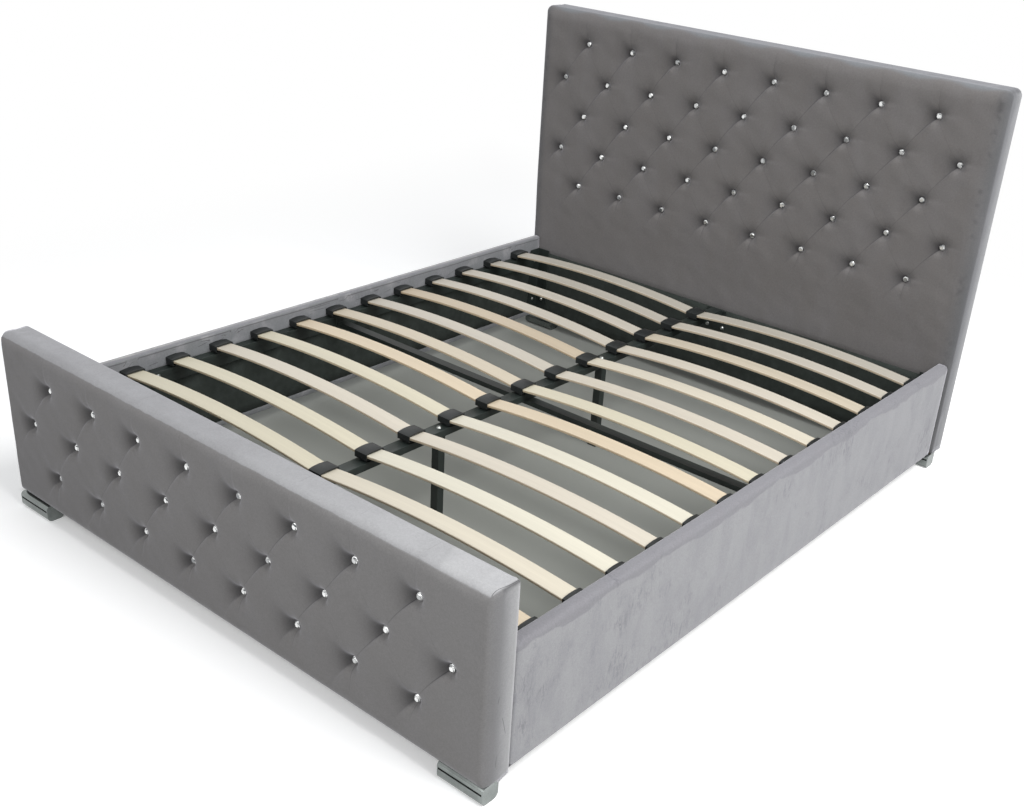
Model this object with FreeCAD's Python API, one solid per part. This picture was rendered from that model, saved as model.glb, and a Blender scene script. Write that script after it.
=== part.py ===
import FreeCAD, Part

import math
import os

from FreeCAD import Vector

# Upholstered bedstead with buttoned boards and a sprung slat base, in millimetres.
# X runs across the bed, +Y to the head, +Z up. The origin is on the floor under its middle.

# Mattress well and overall build
well_width = 1604.0
well_length = 2024.0
foot_height = 45.0
headboard_height = 1131.0
footboard_height = 459.0
headboard_depth = 82.0
footboard_depth = 69.0
board_overhang = 5.0
soft_gap = 1.5

# Side rails
rail_height = 306.0
rail_core_thick = 22.0
rail_outer_padding = 9.0
rail_skin = 2.0
rail_top_padding = 6.0
rail_outer_round = 14.0
rail_inner_round = 6.0
lining_top = 252.0
lining_bottom = 18.0

# Upholstered boards
pad_depth = 13.0
pad_crown = 12.0
pad_crown_inset = 26.0
pad_corner_round = 22.0
panel_thick = 8.0
wrap_thick = 3.0
headboard_corner_round = 22.0
back_cloth_thick = 1.0
post_width = 122.0
middle_post_width = 110.0
frame_rail_width = 70.0
lining_thick = 2.0

# Tufting
tufts_long_row = 9
headboard_tuft_rows = 5
footboard_tuft_rows = 3
tuft_side_margin = 106.0
headboard_tuft_top = 104.0
footboard_tuft_top = 101.0
headboard_tuft_clear = 118.6
headboard_tuft_bottom = 108.0
footboard_tuft_bottom = 110.8
tuft_seat_depth = 9.0
funnel_radius = 36.0
pleat_width = 11.0
pleat_depth = 4.5
crystal_radius = 10.0
crystal_height = 10.0
crystal_seat_clearance = 0.6
crystal_facets = 8

# Slats and their holders
slat_rows = 13
slat_width = 53.0
slat_thick = 8.0
slat_rise = 22.0
slat_edge_round = 2.5
slat_end_top = 315.0
slat_foot_margin = 107.0
slat_head_margin = 135.0
slat_tip_clearance = 1.5
slat_rock_clearance = 1.7
slat_seat_clearance = 0.1
slat_side_clearance = 1.0
holder_wall = 2.5
holder_lip = 1.6
holder_back_wall = 3.5
holder_dome = 3.4
holder_neck_width = 40.0
holder_neck_inset = 7.0
outer_holder_length = 32.0
centre_holder_length = 42.0
rocker_radius = 3.0
peg_radius = 4.0
peg_length = 9.0
peg_clearance = 0.2

# Steel base
bar_top = 296.0
bar_width = 25.0
bar_height = 40.0
bar_wall = 1.5
bar_end_gap = 62.0
beam_width = 40.0
beam_height = 20.0
cross_width = 30.0
cross_height = 15.0
cross_plate_thick = 3.0
cross_plate_reach = 10.0
leg_width = 25.0
leg_wall = 1.5
leg_cap_thick = 6.0
leg_foot_gap = 4
leg_head_gap = 9
leg_foot_gap_share = 0.69
leg_head_gap_share = 0.5
glide_height = 7.0
glide_lip = 2.5
hanger_thick = 3.0
hanger_width = 76.0
hanger_plate_height = 70.0
hanger_reach = 40.0
hanger_clearance = 0.5
bracket_thick = 4.0
bracket_flange = 50.0
bracket_height = 240.0
bracket_bottom = 67.0

# Bolts and screws
bolt_radius = 4.0
bolt_head_radius = 7.0
bolt_head_height = 4.5
bolt_head_top_share = 0.6
bolt_clearance = 0.3
bolt_bite = 18.0
bracket_bolt_share = 0.18
bar_bolts = 4
screw_radius = 2.5
screw_head_radius = 4.6
screw_head_height = 3.5
screw_bite = 28.0

# Chrome feet
foot_length = 125.0
foot_front_reach = 10.0
foot_depth = 48.0
foot_groove_bottom = 27.0
foot_groove_height = 5.0
foot_groove_depth = 7.0
foot_round = 14.0
foot_end_thick = 3.0
foot_screw_inset = 30.0
foot_screw_back = 9.5
foot_counterbore = 22.0

# One overrun serves every cut
over = 1.0

# Sizes worked out from the ones above
rail_thick = rail_outer_padding + rail_core_thick + rail_skin
half_well = well_width / 2
rail_outer = half_well + rail_thick
half_board = rail_outer + board_overhang
bed_length = pad_crown + footboard_depth + well_length + headboard_depth
footboard_front = -bed_length / 2 + pad_crown
footboard_back = footboard_front + footboard_depth
headboard_front = footboard_back + well_length
headboard_back = headboard_front + headboard_depth
well_middle = (footboard_back + headboard_front) / 2
headboard_top = foot_height + headboard_height
footboard_top = foot_height + footboard_height
rail_top = foot_height + rail_height
lining_high = foot_height + lining_top
lining_low = foot_height + lining_bottom
tuft_pitch = (2 * half_board - 2 * tuft_side_margin) / (tufts_long_row - 1)
slat_pitch = (well_length - slat_foot_margin - slat_head_margin) / (slat_rows - 1)
slat_places = [footboard_back + slat_foot_margin + i * slat_pitch for i in range(slat_rows)]
bar_outer = half_well
bar_inner = bar_outer - bar_width
bar_front = footboard_back + bar_end_gap
bar_back = headboard_front - bar_end_gap
leg_places = [slat_places[leg_foot_gap - 1] + slat_pitch * leg_foot_gap_share,
              slat_places[leg_head_gap - 1] + slat_pitch * leg_head_gap_share]


def box(x0, x1, y0, y1, z0, z1):
    """A block between two corners."""
    return Part.makeBox(x1 - x0, y1 - y0, z1 - z0, Vector(x0, y0, z0))


def round_topped(half, y0, y1, z0, z1, radius):
    """An upright board whose two top corners are round."""
    board = box(-half, half, y0, y1, z0, z1)
    corners = [e for e in board.Edges if e.BoundBox.XLength < over and e.BoundBox.ZLength < over
               and e.BoundBox.ZMin > z1 - over]
    return board.makeFillet(radius, corners)


def rod(start, direction, radius, length):
    """A round bar from a point along a direction."""
    return Part.makeCylinder(radius, length, start, direction)


def mirrored(shape):
    """The same piece on the other side of the bed."""
    return shape.mirror(Vector(0, 0, 0), Vector(1, 0, 0))


def moved(shape, x, y, z):
    """A copy of a piece, shifted."""
    copy = shape.copy()
    copy.translate(Vector(x, y, z))
    return copy


def outline(start, steps):
    """A wire from a start point through steps: a point, or the (middle, end) of an arc."""
    edges = []
    here = start
    for step in steps:
        if isinstance(step, tuple):
            edges.append(Part.Arc(here, step[0], step[1]).toShape())
            here = step[1]
        else:
            edges.append(Part.makeLine(here, step))
            here = step
    return Part.Wire(edges)


def round_corner(middle, start, end, radius):
    """The (middle, end) step of a quarter turn about a centre."""
    out = (start - middle) + (end - middle)
    return (middle + out.normalize() * radius, end)


def rounded_rect(half_x, z0, z1, y, radius):
    """A rounded rectangle that stands upright at a given Y."""
    def at(x, z):
        return Vector(x, y, z)
    corners = [
        (at(half_x - radius, z0 + radius), at(half_x - radius, z0), at(half_x, z0 + radius)),
        (at(half_x - radius, z1 - radius), at(half_x, z1 - radius), at(half_x - radius, z1)),
        (at(radius - half_x, z1 - radius), at(radius - half_x, z1), at(-half_x, z1 - radius)),
        (at(radius - half_x, z0 + radius), at(-half_x, z0 + radius), at(radius - half_x, z0)),
    ]
    steps = []
    for middle, first, last in corners:
        steps += [first, round_corner(middle, first, last, radius)]
    return outline(corners[-1][2], steps)


def upright_ring(x, z, y, radius):
    """A circle in three equal arcs that stands upright at a given Y."""
    def at(turn):
        angle = 2 * math.pi * turn
        return Vector(x + radius * math.cos(angle), y, z + radius * math.sin(angle))
    thirds = [at(i / 6) for i in range(7)]
    return outline(thirds[0], [(thirds[1], thirds[2]), (thirds[3], thirds[4]), (thirds[5], thirds[0])])


def polygon(points):
    """A closed wire of straight lines."""
    return Part.makePolygon(points + [points[0]])


def ruled(wires):
    """A solid with straight sides through a row of closed wires."""
    return Part.makeLoft(wires, True, True)


# Bolts and screws


def bolt(seat, direction, shank_radius, head_radius, head_height, length):
    """A domed bolt. The seat is where its head meets the work, and it points into the work."""
    up = direction * -head_height
    head = Part.makeCone(head_radius, head_radius * bolt_head_top_share, head_height, seat, up)
    return head.fuse(rod(seat, direction, shank_radius, length)).removeSplitter()


def bolt_hole(seat, direction, shank_radius, length):
    """The clearance hole for a bolt's shank."""
    back = direction * -over
    return rod(seat + back, direction, shank_radius + bolt_clearance, length + 2 * over)


class Fastener:
    """A bolt or a screw with its own hole."""

    def __init__(self, seat, direction, length, kind="bolt"):
        wood = kind == "screw"
        self.radius = screw_radius if wood else bolt_radius
        head_radius = screw_head_radius if wood else bolt_head_radius
        head_height = screw_head_height if wood else bolt_head_height
        self.solid = bolt(seat, direction, self.radius, head_radius, head_height, length)
        self.hole = bolt_hole(seat, direction, self.radius, length)


def drilled(shape, fasteners):
    """A piece with a hole for every fastener that reaches it."""
    near = [f.hole for f in fasteners if f.hole.BoundBox.intersect(shape.BoundBox)]
    return shape.cut(near) if near else shape


# Where the fasteners go

to_head = Vector(0, 1, 0)
to_foot = Vector(0, -1, 0)
to_right = Vector(1, 0, 0)
to_left = Vector(-1, 0, 0)
upward = Vector(0, 0, 1)
downward = Vector(0, 0, -1)
board_faces = [(footboard_back, to_head, wrap_thick), (headboard_front, to_foot, pad_depth + panel_thick)]


def bracket_bolts():
    """Two bolts through each flange of the four corner brackets."""
    found = []
    inset = bracket_height * bracket_bolt_share
    heights = [bracket_bottom + inset, bracket_bottom + bracket_height - inset]
    middle = bracket_thick + (bracket_flange - bracket_thick) / 2
    for side in (-1, 1):
        outward = to_right * side
        for face, inward, skin in board_faces:
            for z in heights:
                on_board = Vector(side * (half_well - middle), face, z) + inward * bracket_thick
                found.append(Fastener(on_board, inward * -1, bracket_thick + skin + bolt_bite))
                on_rail = Vector(side * (half_well - bracket_thick), face, z) + inward * middle
                found.append(Fastener(on_rail, outward, bracket_thick + rail_skin + bolt_bite))
    return found


def bar_bolt_places():
    """Places along the side bars that fall half way between two slats."""
    step = (slat_rows - 1) / bar_bolts
    between = [int(step * (i + 1 / 2)) for i in range(bar_bolts)]
    return [(slat_places[i] + slat_places[i + 1]) / 2 for i in between]


def bar_side_bolts():
    """Bolts that hold the side bars to the rails."""
    found = []
    length = bar_width + rail_skin + bolt_bite
    for y in bar_bolt_places():
        for side in (-1, 1):
            seat = Vector(side * bar_inner, y, bar_top - bar_height / 2 + bolt_head_radius)
            found.append(Fastener(seat, to_right * side, length))
    return found


def beam_bolts():
    """Bolts down through the centre beam into its two legs."""
    length = beam_height + leg_cap_thick
    return [Fastener(Vector(0, y, bar_top), downward, length) for y in leg_places]


def hanger_bolts():
    """Bolts that hold the centre beam's two hangers to the boards."""
    found = []
    inset = hanger_width / 2 - bolt_head_radius - over
    z = bar_top - hanger_plate_height + bolt_head_radius + over
    for face, inward, skin in board_faces:
        for side in (-1, 1):
            seat = Vector(side * inset, face, z) + inward * hanger_thick
            found.append(Fastener(seat, inward * -1, hanger_thick + skin + bolt_bite))
    return found


def foot_screw_places():
    """The X of both screws of a right-hand foot."""
    return [half_board - foot_length + foot_screw_inset, half_board - foot_screw_inset]


def foot_screw_line(front):
    """The Y of a foot's screws, under the board's timber."""
    return front - foot_front_reach + foot_depth - foot_screw_back


def foot_screws():
    """Two screws up through each chrome foot into its post."""
    found = []
    length = foot_height - foot_counterbore + screw_bite
    for front in (footboard_front, headboard_front):
        for side in (-1, 1):
            for x in foot_screw_places():
                seat = Vector(side * x, foot_screw_line(front), foot_counterbore)
                found.append(Fastener(seat, upward, length, "screw"))
    return found


# Upholstered boards


def tuft_rows(top, bottom, rows):
    """The X and Z of every button, row by row, long rows and short rows in turn."""
    row_pitch = (top - bottom) / (rows - 1)
    table = []
    for row in range(rows):
        count = tufts_long_row - 1 + row % 2
        z = top - row * row_pitch
        table.append([(tuft_pitch * (i - (count - 1) / 2), z) for i in range(count)])
    return table


def pleat(front, start, end):
    """The groove of a folded pleat, cut into the pad's face between two points."""
    a = Vector(start[0], 0, start[1])
    b = Vector(end[0], 0, end[1])
    along = (b - a).normalize()
    across = Vector(along.z, 0, -along.x)
    half = pleat_width / 2 * (pleat_depth + over) / pleat_depth
    lip = Vector(0, front - over, 0)
    root = Vector(0, front + pleat_depth, 0)
    ends = []
    for point in (a, b):
        ends.append(polygon([point + lip - across * half, point + lip + across * half, point + root]))
    return ruled(ends)


def pleats(front, table, zone_bottom, top):
    """Diagonal pleats between the buttons, and straight ones out to the edges."""
    found = []
    spots = {(row, round(x / tuft_pitch * 2)): (x, z) for row, line in enumerate(table) for x, z in line}
    for slant in (-1, 1):
        for (row, column), start in spots.items():
            if (row - 1, column - slant) in spots:
                continue
            end_row, end_column = row, column
            while (end_row + 1, end_column + slant) in spots:
                end_row, end_column = end_row + 1, end_column + slant
            if end_row > row:
                found.append(pleat(front, start, spots[end_row, end_column]))
    for x, z in table[0]:
        found.append(pleat(front, (x, z), (x, top)))
    for x, z in table[-1]:
        found.append(pleat(front, (x, zone_bottom), (x, z)))
    for line in table:
        if len(line) == tufts_long_row:
            for x, z in (line[0], line[-1]):
                found.append(pleat(front, (x, z), (math.copysign(half_board, x), z)))
    return found


def funnel(x, z, front, seat):
    """The pulled-in hollow round a button, narrowing to the button's seat."""
    seat_radius = crystal_radius + crystal_seat_clearance
    depth = seat - front
    radius_shares = [1.0, 0.45, 0.12, 0.0]
    depth_shares = [0.0, 0.3, 0.72, 1.0]
    rings = [upright_ring(x, z, front - over, funnel_radius * (1 + over / depth))]
    for wide, deep in zip(radius_shares, depth_shares):
        radius = seat_radius + (funnel_radius - seat_radius) * wide
        rings.append(upright_ring(x, z, front + depth * deep, radius))
    return ruled(rings)


def tufted_pad(edge, bottom, top, zone_bottom, table, corner):
    """Velvet over foam: a flat back, a crowned front with drawn-in sides, and sewn tufts."""
    base = round_topped(half_board, edge, edge + pad_depth, bottom, top, corner)
    crown_shares = [(0.0, 0.0), (0.55, 0.12), (0.85, 0.42), (1.0, 1.0)]
    wires = []
    for out, inward in crown_shares:
        inset = pad_crown_inset * inward
        wires.append(rounded_rect(half_board - inset, zone_bottom + inset, top - inset,
                                  edge - pad_crown * out, pad_corner_round))
    front = edge - pad_crown
    seat = edge + tuft_seat_depth
    cuts = [funnel(x, z, front, seat) for line in table for x, z in line]
    cuts += pleats(front, table, zone_bottom, top)
    return base.fuse(ruled(wires)).cut(cuts)


def crystal(x, z, edge):
    """A faceted crystal button on its seat."""
    seat = edge + tuft_seat_depth
    radius_shares = [1.0, 1.0, 0.55]
    height_shares = [0.0, 0.28, 1.0]
    rings = []
    for wide, out in zip(radius_shares, height_shares):
        points = []
        for i in range(crystal_facets):
            angle = 2 * math.pi * (i + 1 / 2) / crystal_facets
            radius = crystal_radius * wide
            points.append(Vector(x + radius * math.cos(angle), seat - crystal_height * out,
                                 z + radius * math.sin(angle)))
        rings.append(polygon(points))
    return ruled(rings)


def board_frame(front, back, top, corner):
    """Posts and rails of a board's timber frame, butted together, inside its round corners."""
    low = foot_height
    half = half_board - wrap_thick
    high = top - wrap_thick
    post_inner = half - post_width + wrap_thick
    bay = middle_post_width / 2
    parts = [
        box(-half, -post_inner, front, back, low, high),
        box(post_inner, half, front, back, low, high),
        box(-bay, bay, front, back, low, high),
    ]
    for z0 in (low, high - frame_rail_width):
        for x0, x1 in ((-post_inner, -bay), (bay, post_inner)):
            parts.append(box(x0, x1, front, back, z0, z0 + frame_rail_width))
    if corner > wrap_thick:
        room = round_topped(half, front, back, low, high, corner - wrap_thick)
        parts = [part.common(room).Solids[0] for part in parts[:2]] + parts[2:]
    return parts


def edge_wrap(front, back, top, inner_face, corner):
    """Velvet over thin wadding, round the top and sides of a board and over its inner face."""
    half = half_board
    shell = round_topped(half, front, back, foot_height, top, corner)
    inside = back - (wrap_thick if inner_face else 0) + (0 if inner_face else over)
    room = (half - wrap_thick, front - over, inside, foot_height - over, top - wrap_thick)
    if corner > wrap_thick:
        shell = shell.cut(round_topped(*room, corner - wrap_thick))
    else:
        shell = shell.cut(box(-room[0], *room))
    if inner_face:
        window = box(-half_well, half_well, back - wrap_thick - over, back + over,
                     foot_height - over, lining_high)
        shell = shell.cut(window)
    return shell


def compound(shapes):
    """Separate solids that share one node."""
    return Part.makeCompound(shapes)


def drilled_group(shapes, fasteners):
    """Separate solids of one node, each with its holes."""
    return compound([drilled(shape, fasteners) for shape in shapes])


fasteners_brackets = bracket_bolts()
fasteners_bars = bar_side_bolts()
fasteners_beam = beam_bolts()
fasteners_hangers = hanger_bolts()
fasteners_feet = foot_screws()
every_fastener = (fasteners_brackets + fasteners_bars + fasteners_beam
                  + fasteners_hangers + fasteners_feet)

nodes = {}

# Headboard

head_zone = rail_top + headboard_tuft_clear
head_table = tuft_rows(headboard_top - headboard_tuft_top, head_zone + headboard_tuft_bottom,
                       headboard_tuft_rows)
head_panel_front = headboard_front + pad_depth
head_frame_front = head_panel_front + panel_thick
head_frame_back = headboard_back - back_cloth_thick

head_pad = tufted_pad(headboard_front, foot_height, headboard_top, head_zone, head_table,
                      headboard_corner_round)
head_inner_round = headboard_corner_round - wrap_thick
head_recess = box(-half_well, half_well, headboard_front - over, headboard_front + lining_thick,
                  foot_height - over, lining_high)
head_pad = head_pad.cut(head_recess)
nodes["headboard_tufted_pad"] = drilled(head_pad, every_fastener)
head_lining = box(-half_well, half_well, headboard_front, headboard_front + lining_thick,
                  foot_height, lining_high)
nodes["headboard_lining"] = drilled(head_lining, every_fastener)
nodes["headboard_crystals"] = compound([crystal(x, z, headboard_front)
                                        for line in head_table for x, z in line])
head_panel = round_topped(half_board - wrap_thick, head_panel_front, head_frame_front,
                          foot_height, headboard_top - wrap_thick, head_inner_round)
nodes["headboard_panel"] = drilled(head_panel, every_fastener)
head_frame = board_frame(head_frame_front, head_frame_back, headboard_top, headboard_corner_round)
nodes["headboard_frame"] = drilled_group(head_frame, every_fastener)
nodes["headboard_edge_wrap"] = edge_wrap(head_panel_front, head_frame_back, headboard_top, False,
                                         headboard_corner_round)
nodes["headboard_back_cloth"] = round_topped(half_board - wrap_thick, head_frame_back,
                                             headboard_back, foot_height,
                                             headboard_top - wrap_thick, head_inner_round)

# Footboard

foot_zone = foot_height
foot_table = tuft_rows(footboard_top - footboard_tuft_top, foot_zone + footboard_tuft_bottom,
                       footboard_tuft_rows)
foot_panel_front = footboard_front + pad_depth
foot_frame_front = foot_panel_front + panel_thick
foot_frame_back = footboard_back - wrap_thick

foot_pad = tufted_pad(footboard_front, foot_height, footboard_top, foot_zone, foot_table,
                      wrap_thick)
nodes["footboard_tufted_pad"] = drilled(foot_pad, every_fastener)
nodes["footboard_crystals"] = compound([crystal(x, z, footboard_front)
                                        for line in foot_table for x, z in line])
foot_panel = box(-half_board + wrap_thick, half_board - wrap_thick, foot_panel_front,
                 foot_frame_front, foot_height, footboard_top - wrap_thick)
nodes["footboard_panel"] = drilled(foot_panel, every_fastener)
foot_frame = board_frame(foot_frame_front, foot_frame_back, footboard_top, wrap_thick)
nodes["footboard_frame"] = drilled_group(foot_frame, every_fastener)
foot_wrap = edge_wrap(foot_panel_front, footboard_back, footboard_top, True, wrap_thick)
nodes["footboard_edge_wrap"] = drilled(foot_wrap, every_fastener)
foot_lining = box(-half_well, half_well, foot_frame_back, footboard_back, foot_height, lining_high)
nodes["footboard_lining"] = drilled(foot_lining, every_fastener)

# Side rails, made on the right and mirrored to the left

rail_front = footboard_back + soft_gap
rail_back = headboard_front - soft_gap
core_inner = half_well + rail_skin
core_outer = core_inner + rail_core_thick
core_low = foot_height + rail_skin
core_high = rail_top - rail_top_padding


def rail_cover():
    """Velvet round the rail: thin on the inner face, padded on the outer face and rounded on top."""
    y = rail_front
    outer_middle = Vector(rail_outer - rail_outer_round, y, rail_top - rail_outer_round)
    inner_middle = Vector(half_well + rail_inner_round, y, rail_top - rail_inner_round)
    outer_side = outer_middle + Vector(rail_outer_round, 0, 0)
    outer_top = outer_middle + Vector(0, 0, rail_outer_round)
    inner_top = inner_middle + Vector(0, 0, rail_inner_round)
    inner_side = inner_middle - Vector(rail_inner_round, 0, 0)
    section = outline(Vector(half_well, y, foot_height), [
        Vector(rail_outer, y, foot_height),
        outer_side,
        round_corner(outer_middle, outer_side, outer_top, rail_outer_round),
        inner_top,
        round_corner(inner_middle, inner_top, inner_side, rail_inner_round),
        Vector(half_well, y, foot_height),
    ])
    sleeve = Part.Face(section).extrude(Vector(0, rail_back - rail_front, 0))
    core = box(core_inner, core_outer, rail_front - over, rail_back + over, core_low, core_high)
    window = box(half_well - over, core_inner, rail_front - over, rail_back + over,
                 lining_low, lining_high)
    return sleeve.cut([core, window])


cover = rail_cover()
core = box(core_inner, core_outer, rail_front, rail_back, core_low, core_high)
lining = box(half_well, core_inner, rail_front, rail_back, lining_low, lining_high)
for side, make in (("right", lambda shape: shape), ("left", mirrored)):
    nodes["rail_board_" + side] = drilled(make(core), every_fastener)
    nodes["rail_cover_" + side] = drilled(make(cover), every_fastener)
    nodes["rail_lining_" + side] = drilled(make(lining), every_fastener)

# Slats and holders. Each holder has a pocket with a rocker ridge that the slat's tip rests on.

outer_mouth = half_well - outer_holder_length
outer_pocket = outer_holder_length - holder_back_wall
centre_mouth = centre_holder_length / 2
centre_pocket = centre_mouth - holder_back_wall
slat_outer_tip = half_well - holder_back_wall - slat_tip_clearance
slat_inner_tip = holder_back_wall + slat_tip_clearance
slat_span = slat_outer_tip - slat_inner_tip
slat_middle = (slat_outer_tip + slat_inner_tip) / 2
tip_bottom = slat_end_top - slat_thick
pocket_floor = tip_bottom - slat_rock_clearance
pocket_half = slat_width / 2 + slat_side_clearance
holder_half = pocket_half + holder_wall
holder_sole = pocket_floor - holder_wall


def slat():
    """The right-hand slat at Y zero: a strip with rounded long edges, bent round a wide circle."""
    half = slat_span / 2
    low = slat_end_top - slat_thick
    bend_radius = (half ** 2 + slat_rise ** 2) / (2 * slat_rise)
    bend_centre = Vector(slat_middle, 0, low + slat_rise - bend_radius)
    half_turn = math.degrees(math.asin(half / bend_radius))
    section = Part.Face(rounded_rect(slat_width / 2, low + slat_rise, slat_end_top + slat_rise,
                                     0, slat_edge_round))
    section.rotate(Vector(0, 0, 0), upward, 90)
    section.translate(Vector(slat_middle, 0, 0))
    section.rotate(bend_centre, to_head, -half_turn)
    return section.revolve(bend_centre, to_head, 2 * half_turn)


def pocket_ceiling(run):
    """The height that a pocket this long needs for the slat that rises and rocks in it."""
    share = run / slat_span
    return slat_end_top + 4 * slat_rise * share * (1 - share) + slat_rock_clearance


def holder_body(x0, x1, run):
    """The sleeve of a holder before its pocket is cut, flat below and domed on top."""
    def at(y, z):
        return Vector(x0, y, z)
    shoulder = pocket_ceiling(run) + holder_lip
    section = outline(at(-holder_half, holder_sole), [
        at(holder_half, holder_sole),
        at(holder_half, shoulder),
        (at(0, shoulder + holder_dome), at(-holder_half, shoulder)),
        at(-holder_half, holder_sole),
    ])
    return Part.Face(section).extrude(Vector(x1 - x0, 0, 0))


def holder_neck(x0, x1):
    """The narrower foot on which a holder's sleeve stands on its bar."""
    return box(x0, x1, -holder_neck_width / 2, holder_neck_width / 2, bar_top, holder_sole + over)


def pocket(x0, x1, run):
    """The room for a slat's end in a holder."""
    return box(x0, x1, -pocket_half, pocket_half, pocket_floor, pocket_ceiling(run))


def rocker(x0, x1):
    """The ridge under a slat's end that lets it rock."""
    crest = tip_bottom - slat_seat_clearance
    return rod(Vector(x0, 0, crest - rocker_radius), to_right, rocker_radius, x1 - x0)


def peg(x):
    """The plug that fixes a holder in a bar's top."""
    return rod(Vector(x, 0, bar_top - peg_length), upward, peg_radius, peg_length + over)


def peg_hole(x, y):
    """The hole for a holder's plug in a bar's top wall."""
    start = Vector(x, y, bar_top - bar_wall - over)
    return rod(start, upward, peg_radius + peg_clearance, bar_wall + 2 * over)


def outer_holder():
    """The holder for a right-hand slat's outer end."""
    block = holder_body(outer_mouth, half_well, outer_pocket)
    back = half_well - holder_back_wall
    block = block.cut(pocket(outer_mouth - over, back, outer_pocket))
    return block.fuse([rocker(outer_mouth, back + over), peg(outer_peg),
                       holder_neck(outer_mouth + holder_neck_inset, half_well)]).removeSplitter()


def centre_holder():
    """The double holder that joins a left and a right slat over the centre beam."""
    neck = centre_mouth - holder_neck_inset
    block = holder_body(-centre_mouth, centre_mouth, centre_pocket)
    block = block.cut([pocket(holder_back_wall, centre_mouth + over, centre_pocket),
                       pocket(-centre_mouth - over, -holder_back_wall, centre_pocket)])
    return block.fuse([rocker(-centre_mouth, centre_mouth), peg(0), holder_neck(-neck, neck)]).removeSplitter()


outer_peg = half_well - outer_holder_length / 2
one_slat = slat()
one_outer = outer_holder()
one_centre = centre_holder()
outer_holders = []
centre_holders = []
for number, y in enumerate(slat_places, start=1):
    nodes["slat_right_%02d" % number] = moved(one_slat, 0, y, 0)
    nodes["slat_left_%02d" % number] = mirrored(moved(one_slat, 0, y, 0))
    outer_holders += [moved(one_outer, 0, y, 0), mirrored(moved(one_outer, 0, y, 0))]
    centre_holders.append(moved(one_centre, 0, y, 0))
nodes["slat_outer_holders"] = compound(outer_holders)
nodes["slat_centre_holders"] = compound(centre_holders)

# Steel base


def tube(x0, x1, y0, y1, z0, z1, wall, along):
    """A rectangular tube with open ends that runs along X, Y or Z."""
    inset = {axis: (-over if axis == along else wall) for axis in ("x", "y", "z")}
    room = box(x0 + inset["x"], x1 - inset["x"], y0 + inset["y"], y1 - inset["y"],
               z0 + inset["z"], z1 - inset["z"])
    return box(x0, x1, y0, y1, z0, z1).cut(room)


side_bar = tube(bar_inner, bar_outer, bar_front, bar_back, bar_top - bar_height, bar_top,
                bar_wall, "y")
side_bar = side_bar.cut([peg_hole(outer_peg, y) for y in slat_places])
for side, make in (("right", lambda shape: shape), ("left", mirrored)):
    nodes["slat_side_bar_" + side] = drilled(make(side_bar), every_fastener)

beam_front = footboard_back + hanger_thick
beam_back = headboard_front - hanger_thick
beam_low = bar_top - beam_height
beam = tube(-beam_width / 2, beam_width / 2, beam_front, beam_back, beam_low, bar_top, bar_wall, "y")
beam = beam.cut([peg_hole(0, y) for y in slat_places])
nodes["centre_beam"] = drilled(beam, every_fastener)

cross_low = beam_low - cross_height
cross_front = well_middle - cross_width / 2
cross_back = well_middle + cross_width / 2
cross = tube(-bar_inner + cross_plate_thick, bar_inner - cross_plate_thick, cross_front, cross_back,
             cross_low, beam_low, bar_wall, "x")
plate_low = bar_top - bar_height
plate_half = cross_width / 2 + cross_plate_reach
end_plate = box(bar_inner - cross_plate_thick, bar_inner, well_middle - plate_half,
                well_middle + plate_half, plate_low, bar_top)
nodes["cross_beam"] = cross.fuse([end_plate, mirrored(end_plate)]).removeSplitter()


def centre_leg(y):
    """A square tube leg with a welded cap that bolts up to the centre beam."""
    half = leg_width / 2
    low = glide_height
    leg = tube(-half, half, y - half, y + half, low, beam_low, leg_wall, "z")
    room = half - leg_wall
    cap = box(-room, room, y - room, y + room, beam_low - leg_cap_thick, beam_low)
    return leg.fuse(cap).removeSplitter()


def leg_glide(y):
    """The plastic foot plugged into a centre leg's lower end."""
    half = leg_width / 2 + glide_lip
    plug = leg_width / 2 - leg_wall - peg_clearance
    base = box(-half, half, y - half, y + half, 0, glide_height)
    return base.fuse(box(-plug, plug, y - plug, y + plug, glide_height, 2 * glide_height)).removeSplitter()


nodes["centre_legs"] = drilled_group([centre_leg(y) for y in leg_places], every_fastener)
nodes["centre_leg_glides"] = compound([leg_glide(y) for y in leg_places])


def beam_hanger(face, inward):
    """A steel plate with a tray that carries one end of the centre beam."""
    def span(near, far):
        ends = sorted((face + inward * near, face + inward * far))
        return ends[0], ends[1]
    y0, y1 = span(0, hanger_thick)
    plate = box(-hanger_width / 2, hanger_width / 2, y0, y1, bar_top - hanger_plate_height, bar_top)
    y0, y1 = span(0, hanger_reach)
    room = beam_width / 2 + hanger_clearance
    outer = room + hanger_thick
    tray = box(-outer, outer, y0, y1, beam_low - hanger_thick, bar_top - hanger_thick)
    y0, y1 = span(hanger_thick, hanger_reach + over)
    tray = tray.cut(box(-room, room, y0, y1, beam_low, bar_top))
    return plate.fuse(tray).removeSplitter()


nodes["beam_hangers"] = drilled_group([beam_hanger(footboard_back, 1),
                                       beam_hanger(headboard_front, -1)], every_fastener)


def corner_bracket(face, inward):
    """A right-hand steel angle that joins a rail to a board."""
    y0, y1 = sorted((face, face + inward * bracket_thick))
    high = bracket_bottom + bracket_height
    on_board = box(half_well - bracket_flange, half_well, y0, y1, bracket_bottom, high)
    y0, y1 = sorted((face, face + inward * bracket_flange))
    on_rail = box(half_well - bracket_thick, half_well, y0, y1, bracket_bottom, high)
    return on_board.fuse(on_rail).removeSplitter()


foot_bracket = corner_bracket(footboard_back, 1)
head_bracket = corner_bracket(headboard_front, -1)
nodes["corner_brackets"] = drilled_group([foot_bracket, mirrored(foot_bracket),
                                          head_bracket, mirrored(head_bracket)], every_fastener)

# Chrome feet


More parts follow.
